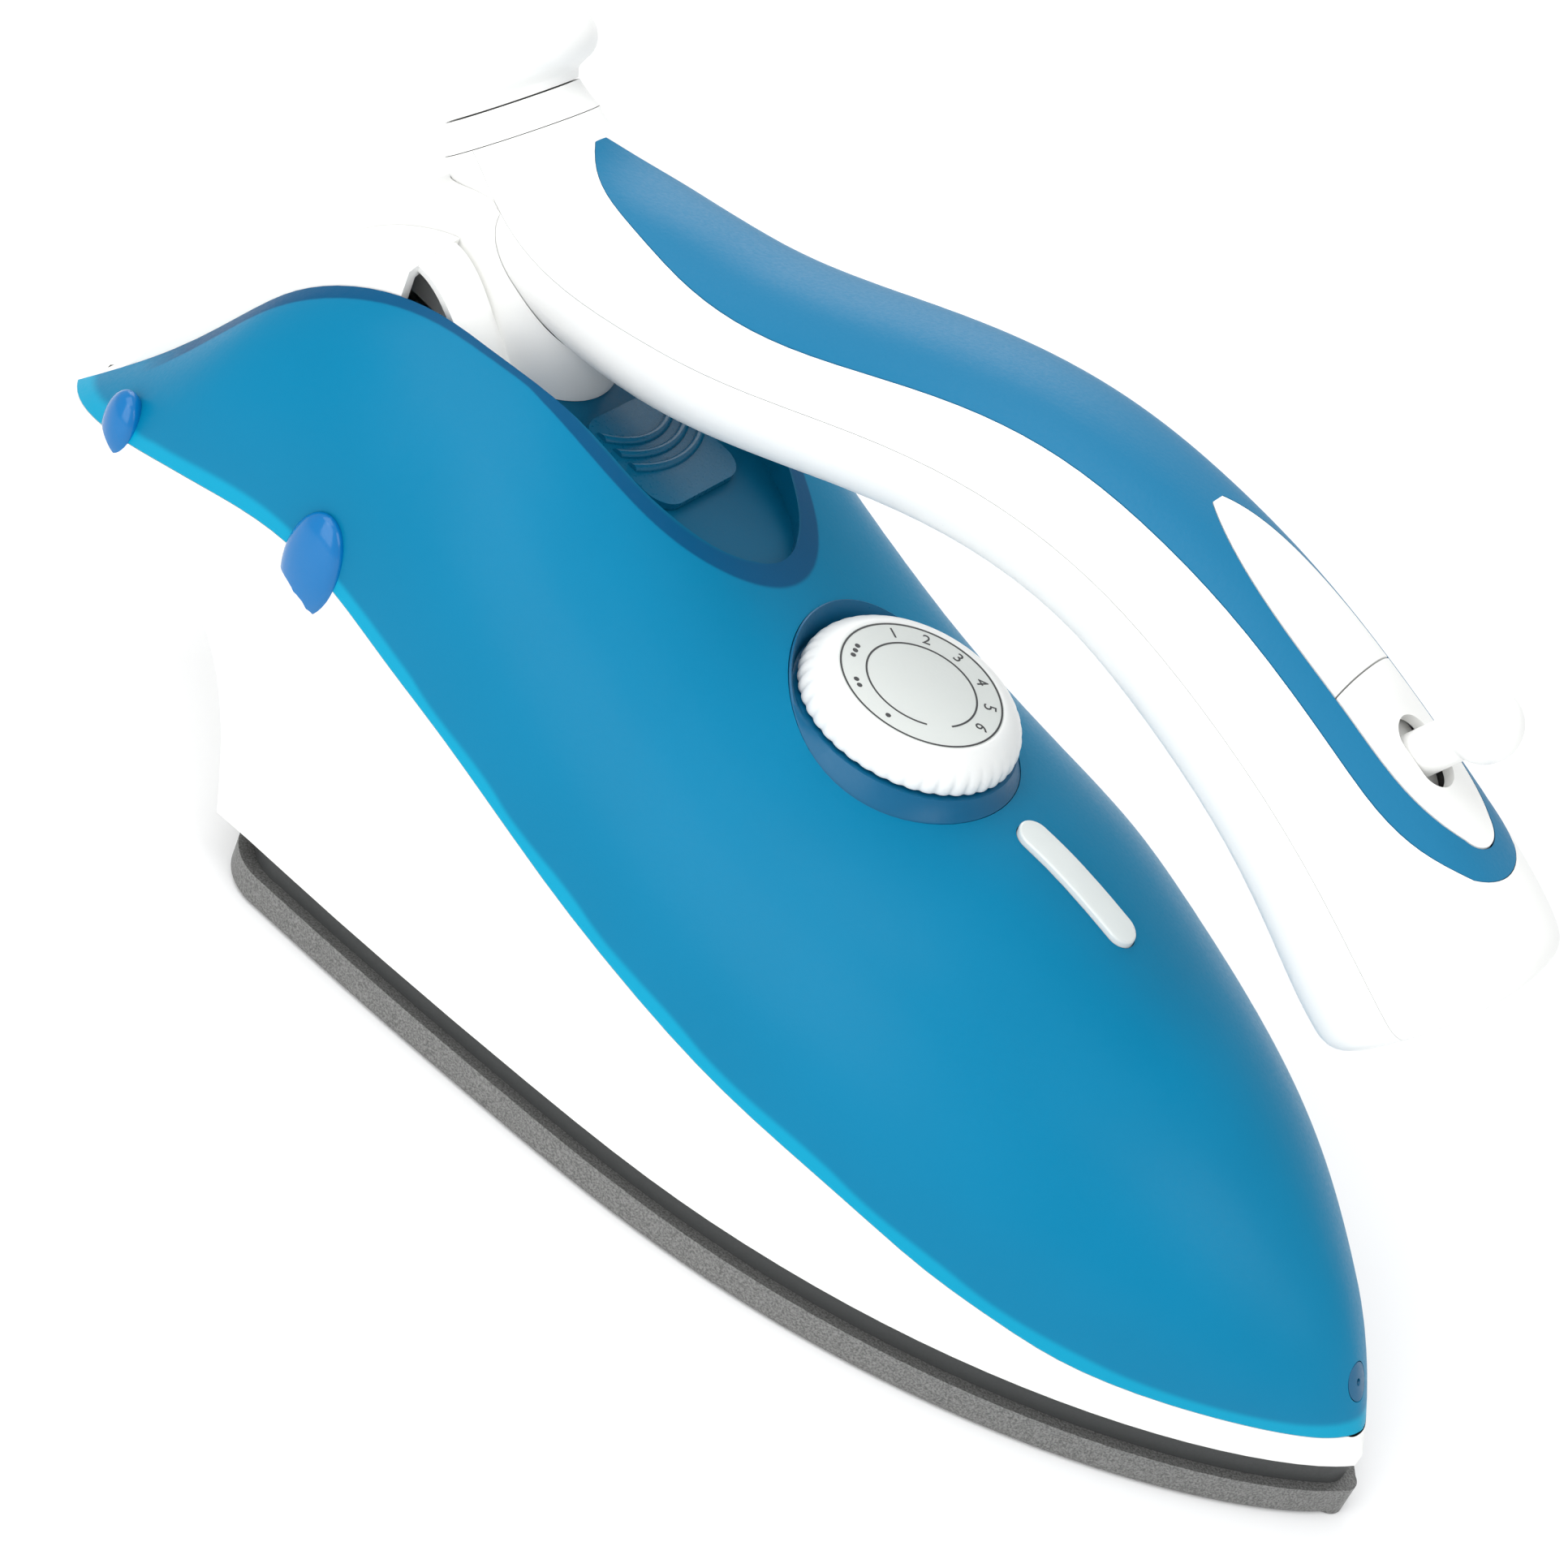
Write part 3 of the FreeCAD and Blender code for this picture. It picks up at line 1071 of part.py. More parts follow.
neck = size("neck_radius")
SPIGOT = 7.0
SPIGOT_START = -3.0
collar_end = size("collar_length")
bush_start = collar_end + GAP
bush_end = bush_start + size("bush_length")
collar = turned_smooth(SPIGOT + GAP, [(neck, SEAT), (neck - 0.9, 0.4 * collar_end),
                                      (neck - 1.9, collar_end)])
piece("handle_collar", collar)
flare = size("bush_radius")
bush = turned_smooth(size("cord_bore"), [
    (neck - 2.0, bush_start), (neck - 1.5, bush_start + 1.4), (flare - 1.9, bush_start + 3.2),
    (flare, bush_start + 6.0), (flare - 0.5, bush_end - 3.6), (flare - 3.2, bush_end - 0.8),
    (flare - 7.4, bush_end)])
spigot_end = bush_start + 0.3
tail_pipe = turned([(size("cord_bore"), SPIGOT_START), (SPIGOT, SPIGOT_START),
                    (SPIGOT, spigot_end), (size("cord_bore"), spigot_end)])
piece("cord_bush", bush.fuse(tail_pipe))

# Clips on the flanks that hold the tank to the housing, two a side.
CLIP_SINK = 5.0
CLIP_ROUNDING = 1.8
CLIPS = [(HEEL - 0.5, 0.0, 6.6, 11.0), (HEEL - 50, 2.0, 5.0, 7.0)]


def clip(side, x, lift, half_length, half_height):
    """An oval button with a rounded rim that lies on the flank over the seam."""
    z = seam(x) + lift
    wall_y = side * body_half_width(x)
    start_y = wall_y - side * CLIP_SINK
    ellipse = Part.Ellipse(point(x, start_y, z + half_height), point(x + half_length, start_y, z),
                           point(x, start_y, z))
    face = Part.Face(Part.Wire(ellipse.toShape()))
    block = face.extrude(point(0, side * (CLIP_SINK + size("clip_rise")), 0))
    rim = [edge for edge in block.Edges
           if min(abs(vertex.Y) for vertex in edge.Vertexes) > abs(wall_y)]
    return largest(block.makeFillet(CLIP_ROUNDING, rim).cut(clip_seat))


clip_seat = body_form(-SEAT)
clips = [clip(side, *sizes) for side in (-1, 1) for sizes in CLIPS]
piece("tank_clips", Part.makeCompound(clips))

# Mains parts in the housing: terminal block, thermal fuse and leads.
block = bound("Part::Box", "TerminalBlock", at(HEEL + 14, -11, BEAM_LOW), Length="12", Width="22", Height="9")
finish(block, "terminal_block")
fuse_body = bound("Part::Cylinder", "ThermalFuse",
                  FreeCAD.Placement(point(HEEL + 57, -7, cover_top + 2.6), FreeCAD.Rotation(Y_AXIS, 90)),
                  Height="13")
fuse_body.Radius = 2.4
finish(fuse_body, "thermal_fuse")

# ---------------------------------------------------------------- checks and files
doc.recompute()
for feature in doc.Objects:
    if "Invalid" in feature.State or "Error" in feature.State:
        raise RuntimeError("%s did not build: %s" % (feature.Label, feature.State))
for node in nodes:
    if node.Shape.isNull() or not node.Shape.isValid() or not node.Shape.Solids:
        raise RuntimeError("%s has no valid solid" % node.Label)
os.makedirs("parts", exist_ok=True)
for node in nodes:
    node.Shape.exportStep("parts/%s.step" % node.Label)
    print("%-22s %2d solid %9.1f mm3" % (node.Label, len(node.Shape.Solids), node.Shape.Volume))
print("dial axis", on_dial(0).Base, dial_axis.multVec(Z_AXIS))
print("lever axis", LEVER_AHEAD, "hatch axis", hatch_slope.multVec(point(1, 0, 0)))
print("cord axis", CORD_START, CORD_AXIS, "bore middle", CORD_START + CORD_AXIS * ((SPIGOT_START + bush_end) / 2),
      "bore length", bush_end - SPIGOT_START)
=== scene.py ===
# %% [markdown]
# # A steam iron, dressed for its portrait
# The engineering model is already finished: every shell, screw and hose is in its place.
# This lesson lights it, gives each part its finish, and models by hand the pieces whose
# charm is in their detail: the fluted dial, its printed plate and its seat, the apron at
# the pillar's foot, the clips, a cap over the cord bush, and the lens.

# %% Load the finished model
import json
import math

import bpy
from mathutils import Matrix, Vector


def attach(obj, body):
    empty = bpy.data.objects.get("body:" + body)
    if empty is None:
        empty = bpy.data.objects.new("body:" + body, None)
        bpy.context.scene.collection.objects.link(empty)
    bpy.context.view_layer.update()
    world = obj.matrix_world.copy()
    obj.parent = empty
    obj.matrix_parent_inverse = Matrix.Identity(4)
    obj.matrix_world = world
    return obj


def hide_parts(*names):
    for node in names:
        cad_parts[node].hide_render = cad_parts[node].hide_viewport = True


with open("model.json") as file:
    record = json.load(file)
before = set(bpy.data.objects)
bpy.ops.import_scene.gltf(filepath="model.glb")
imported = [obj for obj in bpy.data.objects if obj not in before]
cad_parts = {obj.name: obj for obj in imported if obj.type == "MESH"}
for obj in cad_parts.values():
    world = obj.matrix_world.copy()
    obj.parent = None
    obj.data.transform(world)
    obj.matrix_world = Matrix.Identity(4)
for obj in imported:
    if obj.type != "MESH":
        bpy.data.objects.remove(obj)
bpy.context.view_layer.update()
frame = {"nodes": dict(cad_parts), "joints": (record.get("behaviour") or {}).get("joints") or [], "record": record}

MM = 0.001
nodes = frame["nodes"]
joints = {joint["name"]: joint for joint in frame["joints"]}
record = frame["record"]
print("nodes:", len(nodes), "joints:", sorted(joints))

# %% [markdown]
# ## Camera
# The iron is seen from its right side, from above, with the camera itself rolled so that
# the nose points down to the right. A long lens keeps the sole's edge nearly straight.
# The camera could be aimed with a Track To constraint, but a roll is then hard to add,
# so its three axes are worked out and written into its matrix.

# %% Place the camera
AZIMUTH = math.radians(20.74)
ELEVATION = math.radians(36.49)
ROLL = math.radians(24.41)
DISTANCE = 0.7
TARGET = Vector((-37.73, 0.0, 55.23)) * MM
LENS = 89.32
SENSOR = 36.0

back = Vector((math.sin(AZIMUTH) * math.cos(ELEVATION),
               -math.cos(AZIMUTH) * math.cos(ELEVATION), math.sin(ELEVATION)))
level_right = Vector((math.cos(AZIMUTH), math.sin(AZIMUTH), 0.0))
level_up = back.cross(level_right)
right = level_right * math.cos(ROLL) + level_up * math.sin(ROLL)
up = level_up * math.cos(ROLL) - level_right * math.sin(ROLL)

camera_data = bpy.data.cameras.new("portrait_camera")
camera_data.lens = LENS
camera_data.sensor_width = SENSOR
camera = bpy.data.objects.new("portrait_camera", camera_data)
bpy.context.scene.collection.objects.link(camera)
turn = Matrix((right, up, back)).transposed()
camera.matrix_world = Matrix.Translation(TARGET + back * DISTANCE) @ turn.to_4x4()
bpy.context.scene.camera = camera
bpy.context.scene.view_settings.view_transform = "Standard"
print("camera at", [round(value, 3) for value in camera.location])

# %% [markdown]
# ## Studio
# White plastic needs a bright, even surround with only a gentle fall-off, or it turns grey.
# A sky texture would tint it, so the world is plain, and four large panels add the soft
# highlights that show where the blue shell curves.

# %% Light the studio
FLOOR_DROP = 0.2 * MM
PANEL_GLOSS = 0.3
SKY_TONE = (0.97, 0.985, 1.0, 1.0)
SKY_STRENGTH = 0.70


def emitter(name, place, size, power, aim=(0.0, 0.0, 0.06)):
    """A square light panel that faces a point on the iron."""
    data = bpy.data.lights.new(name, "AREA")
    data.shape = "SQUARE"
    data.size = size
    data.energy = power
    data.specular_factor = PANEL_GLOSS
    panel = bpy.data.objects.new(name, data)
    bpy.context.scene.collection.objects.link(panel)
    panel.location = place
    panel.rotation_euler = (Vector(aim) - Vector(place)).to_track_quat("-Z", "Y").to_euler()
    return panel


world = bpy.data.worlds.new("studio_world")
world.use_nodes = True
sky = world.node_tree.nodes["Background"]
sky.inputs["Color"].default_value = SKY_TONE
sky.inputs["Strength"].default_value = SKY_STRENGTH
bpy.context.scene.world = world
emitter("key_panel", (-0.25, -0.35, 1.0), 0.9, 5.0)
emitter("rear_panel", (-0.55, 0.6, 0.6), 0.6, 2.6)
emitter("nose_panel", (0.75, -0.1, 0.55), 0.5, 1.6)
emitter("side_panel", (-0.05, -0.75, 0.42), 0.7, 3.2, (-0.1, 0.0, 0.1))

# %% [markdown]
# ## Working by hand
# Each new piece starts from a primitive and is shaped in edit mode. An operator acts on
# everything that is selected, and the loaded model arrives selected, so the first helper
# clears that. The others pick vertices by place, because there is no mouse here.

# %% Selection helpers
def let_go():
    """Leave edit mode and deselect everything."""
    if bpy.context.object and bpy.context.object.mode != "OBJECT":
        bpy.ops.object.mode_set(mode="OBJECT")
    bpy.ops.object.select_all(action="DESELECT")


def take(piece):
    """Make one piece the only selected and active one."""
    let_go()
    piece.select_set(True)
    bpy.context.view_layer.objects.active = piece


def pick(test):
    """In edit mode, select just the vertices whose position passes a test."""
    piece = bpy.context.object
    bpy.ops.mesh.select_mode(type="VERT")
    bpy.ops.mesh.select_all(action="DESELECT")
    bpy.ops.object.mode_set(mode="OBJECT")
    for vertex in piece.data.vertices:
        vertex.select = bool(test(vertex.co))
    bpy.ops.object.mode_set(mode="EDIT")


def named(name):
    """Name the new primitive and its mesh."""
    piece = bpy.context.object
    piece.name = name
    piece.data.name = name
    return piece


def settle(piece, matrix=None, smooth=40.0):
    """Write the piece's place into its mesh, turn its faces outwards and smooth it."""
    take(piece)
    if matrix is not None:
        piece.matrix_world = matrix @ piece.matrix_world
    bpy.ops.object.transform_apply(location=True, rotation=True, scale=True)
    bpy.ops.object.mode_set(mode="EDIT")
    bpy.ops.mesh.select_all(action="SELECT")
    bpy.ops.mesh.remove_doubles(threshold=1e-6)
    bpy.ops.mesh.normals_make_consistent(inside=False)
    bpy.ops.object.mode_set(mode="OBJECT")
    bpy.ops.object.shade_smooth_by_angle(angle=math.radians(smooth))
    let_go()
    print(piece.name, len(piece.data.polygons), "faces")
    return piece


def modify(piece, kind, **settings):
    """Add one modifier and apply it at once."""
    take(piece)
    modifier = piece.modifiers.new(kind, kind)
    for key, value in settings.items():
        setattr(modifier, key, value)
    bpy.ops.object.modifier_apply(modifier=modifier.name)
    let_go()


let_go()

# %% [markdown]
# Round pieces, such as the dial and the cord bush, are drawn as a half profile and turned.
# The Spin operator does that, but a ring of vertices that is extruded and resized step by
# step gives the same lathe with a seamless, evenly spaced skin.

# %% A lathe made of extrude and resize
def lathe(name, profile, steps, matrix, smooth=40.0, closed_ends=True):
    """A turned piece: profile is a list of (radius, height) pairs in metres, foot first."""
    let_go()
    radius, height = profile[0]
    bpy.ops.mesh.primitive_circle_add(vertices=steps, radius=radius, location=(0, 0, height))
    piece = named(name)
    bpy.ops.object.transform_apply(location=True, rotation=True, scale=True)
    bpy.ops.object.mode_set(mode="EDIT")
    bpy.ops.mesh.select_all(action="SELECT")
    if closed_ends:
        bpy.ops.mesh.edge_face_add()
    for next_radius, next_height in profile[1:]:
        bpy.ops.mesh.extrude_region_move(
            TRANSFORM_OT_translate={"value": (0, 0, next_height - height)})
        share = next_radius / radius
        bpy.ops.transform.resize(value=(share, share, 1.0), center_override=(0, 0, next_height))
        radius, height = next_radius, next_height
    bpy.ops.object.mode_set(mode="OBJECT")
    return settle(piece, matrix, smooth)


def upright(origin, axis):
    """A matrix that stands a turned piece on a point, along an axis, unturned about it."""
    axis = Vector(axis).normalized()
    side = Vector((0, 1, 0))
    ahead = side.cross(axis).normalized()
    frame_axes = Matrix((ahead, side, axis)).transposed()
    return Matrix.Translation(Vector(origin)) @ frame_axes.to_4x4()


def reach(node, origin, axis):
    """Lowest and highest point of a node along an axis, and its greatest radius round it."""
    origin, axis = Vector(origin), Vector(axis).normalized()
    spots = [vertex.co - origin for vertex in nodes[node].data.vertices]
    heights = [spot.dot(axis) for spot in spots]
    radii = [(spot - axis * height).length for spot, height in zip(spots, heights)]
    return min(heights), max(heights), max(radii)


print("lathe ready")

# %% [markdown]
# ## Shared effects
# Moulded plastic is never perfectly even: its gloss drifts over centimetres and a fine
# spark-eroded grain breaks up the highlight. Both come from one node group that every
# plastic reuses with its own strengths. Copying the nodes into each material would work,
# but a change would then have to be made many times.

# %% The moulded-surface group
def new_group(name, inputs, outputs):
    """An empty shader node group with named sockets."""
    group = bpy.data.node_groups.new(name, "ShaderNodeTree")
    for label, kind, value in inputs:
        socket = group.interface.new_socket(label, in_out="INPUT", socket_type=kind)
        socket.default_value = value
    for label, kind in outputs:
        group.interface.new_socket(label, in_out="OUTPUT", socket_type=kind)
    entry = group.nodes.new("NodeGroupInput")
    leave = group.nodes.new("NodeGroupOutput")
    return group, entry, leave


def add(tree, kind, **settings):
    """A node with some of its properties set."""
    node = tree.nodes.new(kind)
    for key, value in settings.items():
        setattr(node, key, value)
    return node


def calc(tree, operation, first, second):
    """A Math node fed by sockets or plain numbers."""
    node = add(tree, "ShaderNodeMath", operation=operation)
    for socket, value in zip(node.inputs, (first, second)):
        if isinstance(value, (int, float)):
            socket.default_value = value
        else:
            tree.links.new(value, socket)
    return node.outputs[0]


FLOAT, COLOUR = "NodeSocketFloat", "NodeSocketColor"
moulded, entry, leave = new_group(
    "moulded_surface",
    [("Tone", COLOUR, (0.8, 0.8, 0.8, 1.0)), ("Drift", FLOAT, 0.04), ("Gloss", FLOAT, 0.3),
     ("Grain", FLOAT, 0.1)],
    [("Colour", COLOUR), ("Roughness", FLOAT), ("Height", FLOAT)])
place = add(moulded, "ShaderNodeTexCoord")
cloud = add(moulded, "ShaderNodeTexNoise")
cloud.inputs["Scale"].default_value = 22.0
cloud.inputs["Detail"].default_value = 2.0
grain = add(moulded, "ShaderNodeTexNoise")
grain.inputs["Scale"].default_value = 1500.0
grain.inputs["Detail"].default_value = 2.0
for texture in (cloud, grain):
    moulded.links.new(place.outputs["Object"], texture.inputs["Vector"])
swing = calc(moulded, "SUBTRACT", cloud.outputs[0], 0.5)
swing = calc(moulded, "MULTIPLY", swing, entry.outputs["Drift"])
shade = add(moulded, "ShaderNodeHueSaturation")
moulded.links.new(entry.outputs["Tone"], shade.inputs["Color"])
moulded.links.new(calc(moulded, "ADD", swing, 1.0), shade.inputs["Value"])
moulded.links.new(shade.outputs[0], leave.inputs["Colour"])
speck = calc(moulded, "SUBTRACT", grain.outputs[0], 0.5)
speck = calc(moulded, "MULTIPLY", speck, 0.25)
rough = calc(moulded, "ADD", entry.outputs["Gloss"], calc(moulded, "ADD", swing, speck))
moulded.links.new(rough, leave.inputs["Roughness"])
moulded.links.new(calc(moulded, "MULTIPLY", grain.outputs[0], entry.outputs["Grain"]),
                  leave.inputs["Height"])
print("group:", moulded.name)

# %% [markdown]
# ## Plastics
# One function places the group in a Principled material. The tone, gloss and grain tell
# the housing, the soft grip and the heat shield apart. Constants such as coat, sheen and
# transmission go straight on the shader's own sockets.

# %% A plastic maker
BUMP_DISTANCE = 0.05 * MM


def plastic(name, tone, drift, gloss, grain_depth, **shader_values):
    """A moulded plastic or rubber."""
    material = bpy.data.materials.new(name)
    material.use_nodes = True
    tree = material.node_tree
    shader = tree.nodes["Principled BSDF"]
    surface = add(tree, "ShaderNodeGroup", node_tree=moulded)
    surface.inputs["Tone"].default_value = (*tone, 1.0)
    surface.inputs["Drift"].default_value = drift
    surface.inputs["Gloss"].default_value = gloss
    surface.inputs["Grain"].default_value = grain_depth
    tree.links.new(surface.outputs["Colour"], shader.inputs["Base Color"])
    tree.links.new(surface.outputs["Roughness"], shader.inputs["Roughness"])
    bump = add(tree, "ShaderNodeBump")
    bump.inputs["Distance"].default_value = BUMP_DISTANCE
    tree.links.new(surface.outputs["Height"], bump.inputs["Height"])
    tree.links.new(bump.outputs[0], shader.inputs["Normal"])
    for label, value in shader_values.items():
        shader.inputs[label.replace("_", " ")].default_value = value
    return material


white = plastic("satin_white", (0.86, 0.86, 0.84), 0.02, 0.34, 0.25)
deep_blue = plastic("deep_blue_gloss", (0.0, 0.145, 0.40), 0.06, 0.2, 0.05, Coat_Weight=0.12,
                    Specular_IOR_Level=0.35)
lid_blue = plastic("lid_blue", (0.0, 0.105, 0.205), 0.06, 0.3, 0.1, Specular_IOR_Level=0.3)
collar_blue = plastic("collar_blue", (0.0, 0.098, 0.21), 0.06, 0.34, 0.1, Specular_IOR_Level=0.3)
grip_blue = plastic("soft_touch_blue", (0.0, 0.15, 0.30), 0.05, 0.5, 0.9, Sheen_Weight=0.06,
                    Specular_IOR_Level=0.3)
plate_grey = plastic("plate_grey", (0.66, 0.68, 0.65), 0.02, 0.42, 0.3)
lens_white = plastic("lens_white", (0.72, 0.75, 0.73), 0.02, 0.16, 0.05, Coat_Weight=0.6)
shield_black = plastic("shield_black", (0.036, 0.038, 0.038), 0.1, 0.5, 0.6)
tray_blue = plastic("tray_blue", (0.10, 0.34, 0.45), 0.05, 0.4, 0.2)
seal_rubber = plastic("seal_rubber", (0.05, 0.05, 0.055), 0.1, 0.6, 0.5)
hose_clear = plastic("hose_milky", (0.55, 0.6, 0.6), 0.05, 0.35, 0.1, Transmission_Weight=0.4)
ink = plastic("dial_ink", (0.025, 0.025, 0.027), 0.1, 0.4, 0.1)
print("plastics:", len(bpy.data.materials))

# %% [markdown]
# ## The frosted tank
# The tank is a see-through blue shell with a frosted skin. Full glass would show every part inside sharply and
# needs many samples; a plain opaque blue would look dead. So the shader transmits only a share of the light, with
# a rough surface. Along its lower edge light gathers and the plastic glows cyan; that glow is painted into the
# colour as a brighter cyan band. That edge follows the seam with the housing, whose height along the iron is
# repeated here as a colour ramp.

# %% Build the tank's material
TAIL_X, NOSE_X = -0.200, 0.118
SEAM_TOP = 0.080
SEAM = [(-0.199, 54.0), (-0.173, 60.5), (-0.155, 66.0), (-0.124, 71.0), (-0.088, 63.0),
        (-0.064, 54.6), (-0.040, 46.5), (-0.0125, 39.0), (0.0195, 32.0), (0.046, 24.5),
        (0.074, 19.0), (0.118, 18.0)]
EDGE_BAND = 3.4 * MM


def seam_height(tree, position):
    """The seam's height in metres at each point of the surface, as a socket."""
    split = add(tree, "ShaderNodeSeparateXYZ")
    tree.links.new(position, split.inputs[0])
    along = add(tree, "ShaderNodeMapRange")
    tree.links.new(split.outputs["X"], along.inputs["Value"])
    along.inputs["From Min"].default_value = TAIL_X
    along.inputs["From Max"].default_value = NOSE_X
    ramp = add(tree, "ShaderNodeValToRGB")
    ramp.color_ramp.interpolation = "CARDINAL"
    stops = ramp.color_ramp.elements
    while len(stops) < len(SEAM):
        stops.new(0.5)
    for stop, (x, height) in zip(stops, SEAM):
        stop.position = (x - TAIL_X) / (NOSE_X - TAIL_X)
        level = height * MM / SEAM_TOP
        stop.color = (level, level, level, 1.0)
    tree.links.new(along.outputs[0], ramp.inputs[0])
    return calc(tree, "MULTIPLY", ramp.outputs[0], SEAM_TOP), split.outputs["Z"]


tank_blue = plastic("frosted_tank_blue", (0.0, 0.205, 0.385), 0.16, 0.38, 0.4,
                    Transmission_Weight=0.15, IOR=1.45, Specular_IOR_Level=0.1)
tree = tank_blue.node_tree
shader = tree.nodes["Principled BSDF"]
surface = next(node for node in tree.nodes if node.type == "GROUP")
position = add(tree, "ShaderNodeTexCoord").outputs["Object"]
edge_level, level_here = seam_height(tree, position)
above = calc(tree, "SUBTRACT", level_here, edge_level)
glow = add(tree, "ShaderNodeMapRange", interpolation_type="SMOOTHSTEP")
tree.links.new(above, glow.inputs["Value"])
glow.inputs["From Min"].default_value = EDGE_BAND
glow.inputs["From Max"].default_value = 0.55 * EDGE_BAND
# Painted glow: a brighter cyan is mixed into the base colour along the seam, standing in for the light that
# gathers at the edge.
mix = add(tree, "ShaderNodeMix", data_type="RGBA")
tree.links.new(glow.outputs[0], mix.inputs["Factor"])
tree.links.new(surface.outputs["Colour"], mix.inputs["A"])
mix.inputs["B"].default_value = (0.0, 0.35, 0.56, 1.0)

# %% [markdown]
# ## The scoop's painted shade
# In front of the pillar the tank dips into a scoop, which looks darker because light passes through two skins
# there, with a dark line of shade along its edge. Both darkenings are painted shade: a separate dark piece would
# leave a seam, so the tank's own material is darkened by two soft masks, drawn from how far a point lies from the
# scoop's middle.

# %% Paint shade into the scoop
SCOOP_CENTRE_X = -0.100
SCOOP_LENGTH, SCOOP_HALF_WIDTH = 0.045, 0.0245
SCOOP_FLARE = 0.13
RIM_SHARE = 1.10
RIM_SOFTNESS = 0.01
CAVITY_INNER, CAVITY_OUTER = 0.985, 1.005
FADE_LOW, FADE_HIGH = 0.070, 0.080
# Painted shade: the darker tone of the scoop's hollow and the darker line round its rim.
SCOOP_SHADE_TONE = (0.0, 0.115, 0.225, 1.0)
RIM_SHADE_TONE = (0.0, 0.085, 0.205, 1.0)


def scoop_reach(tree, position):
    """How far out a point lies from the scoop's middle: 1 is its upper edge."""
    split = add(tree, "ShaderNodeSeparateXYZ")
    tree.links.new(position, split.inputs[0])
    ahead = calc(tree, "SUBTRACT", split.outputs["X"], SCOOP_CENTRE_X)
    behind = calc(tree, "MAXIMUM", calc(tree, "MULTIPLY", ahead, -1.0), 0.0)
    half = calc(tree, "ADD", calc(tree, "MULTIPLY", behind, SCOOP_FLARE), SCOOP_HALF_WIDTH)
    across = calc(tree, "DIVIDE", split.outputs["Y"], half)
    along = calc(tree, "DIVIDE", calc(tree, "MAXIMUM", ahead, 0.0), SCOOP_LENGTH)
    total = calc(tree, "ADD", calc(tree, "MULTIPLY", along, along),
                 calc(tree, "MULTIPLY", across, across))
    return calc(tree, "SQRT", total, 0.0)


def tinted(tree, base, mask, tone):
    """Mix a tone over a colour where a mask is 1."""
    mixer = add(tree, "ShaderNodeMix", data_type="RGBA")
    tree.links.new(mask, mixer.inputs["Factor"])
    tree.links.new(base, mixer.inputs["A"])
    mixer.inputs["B"].default_value = tone
    return mixer.outputs["Result"]


def falling(tree, value, low, high):
    """A soft mask: 1 below low, 0 above high."""
    ramp = add(tree, "ShaderNodeMapRange", interpolation_type="SMOOTHSTEP")
    tree.links.new(value, ramp.inputs["Value"])
    ramp.inputs["From Min"].default_value = high
    ramp.inputs["From Max"].default_value = low
    return ramp.outputs[0]


out_from_middle = scoop_reach(tree, position)
high_up = add(tree, "ShaderNodeMapRange")
tree.links.new(level_here, high_up.inputs["Value"])
high_up.inputs["From Min"].default_value = FADE_LOW
high_up.inputs["From Max"].default_value = FADE_HIGH
inside_rim = falling(tree, out_from_middle, RIM_SHARE - RIM_SOFTNESS, RIM_SHARE + RIM_SOFTNESS)
inside_cavity = falling(tree, out_from_middle, CAVITY_INNER, CAVITY_OUTER)
rim_shade_mask = calc(tree, "MULTIPLY", inside_rim, high_up.outputs[0])
scoop_shade_mask = calc(tree, "MULTIPLY", inside_cavity, high_up.outputs[0])
colour = tinted(tree, mix.outputs["Result"], rim_shade_mask, RIM_SHADE_TONE)
colour = tinted(tree, colour, scoop_shade_mask, SCOOP_SHADE_TONE)
tree.links.new(colour, shader.inputs["Base Color"])
print("tank material nodes:", len(tree.nodes))

# %% [markdown]
# ## The sole's coating
# The soleplate is die-cast aluminium under a speckled non-stick coat: a mid grey with
# pale and dark grains of under half a millimetre. A scanned picture could be wrapped
# round it, but a noise with four levels of detail makes the speckle and never repeats.

# %% Build the metals
def metal(name, tone, gloss, speckle, scale):
    """A metal with a speckled finish."""
    material = bpy.data.materials.new(name)
    material.use_nodes = True
    tree = material.node_tree
    shader = tree.nodes["Principled BSDF"]
    shader.inputs["Metallic"].default_value = 0.75
    position = add(tree, "ShaderNodeTexCoord").outputs["Object"]
    grains = add(tree, "ShaderNodeTexNoise")
    grains.inputs["Scale"].default_value = scale
    grains.inputs["Detail"].default_value = 4.0
    tree.links.new(position, grains.inputs["Vector"])
    ramp = add(tree, "ShaderNodeValToRGB")
    low = [channel * (1 - speckle) for channel in tone]
    high = [min(1.0, channel * (1 + 1.6 * speckle)) for channel in tone]
    ramp.color_ramp.elements[0].position = 0.36
    ramp.color_ramp.elements[0].color = (*low, 1.0)
    ramp.color_ramp.elements[1].position = 0.64
    ramp.color_ramp.elements[1].color = (*high, 1.0)
    tree.links.new(grains.outputs[0], ramp.inputs[0])
    tree.links.new(ramp.outputs[0], shader.inputs["Base Color"])
    spread = calc(tree, "MULTIPLY", grains.outputs[0], 0.3)
    tree.links.new(calc(tree, "ADD", spread, gloss - 0.15), shader.inputs["Roughness"])
    bump = add(tree, "ShaderNodeBump")
    bump.inputs["Distance"].default_value = BUMP_DISTANCE
    bump.inputs["Strength"].default_value = 0.5
    tree.links.new(grains.outputs[0], bump.inputs["Height"])
    tree.links.new(bump.outputs[0], shader.inputs["Normal"])
    return material


sole_coat = metal("sole_coating", (0.185, 0.185, 0.18), 0.46, 0.3, 2600.0)
steel = metal("plain_steel", (0.45, 0.45, 0.46), 0.3, 0.12, 600.0)
brass = metal("turned_brass", (0.62, 0.42, 0.16), 0.28, 0.12, 600.0)
print("metals ready")

# %% [markdown]
# ## Dress the model
# The record names a finish for every part, so one table from finish to material dresses
# them all. A few parts differ from their neighbours and are listed by name.

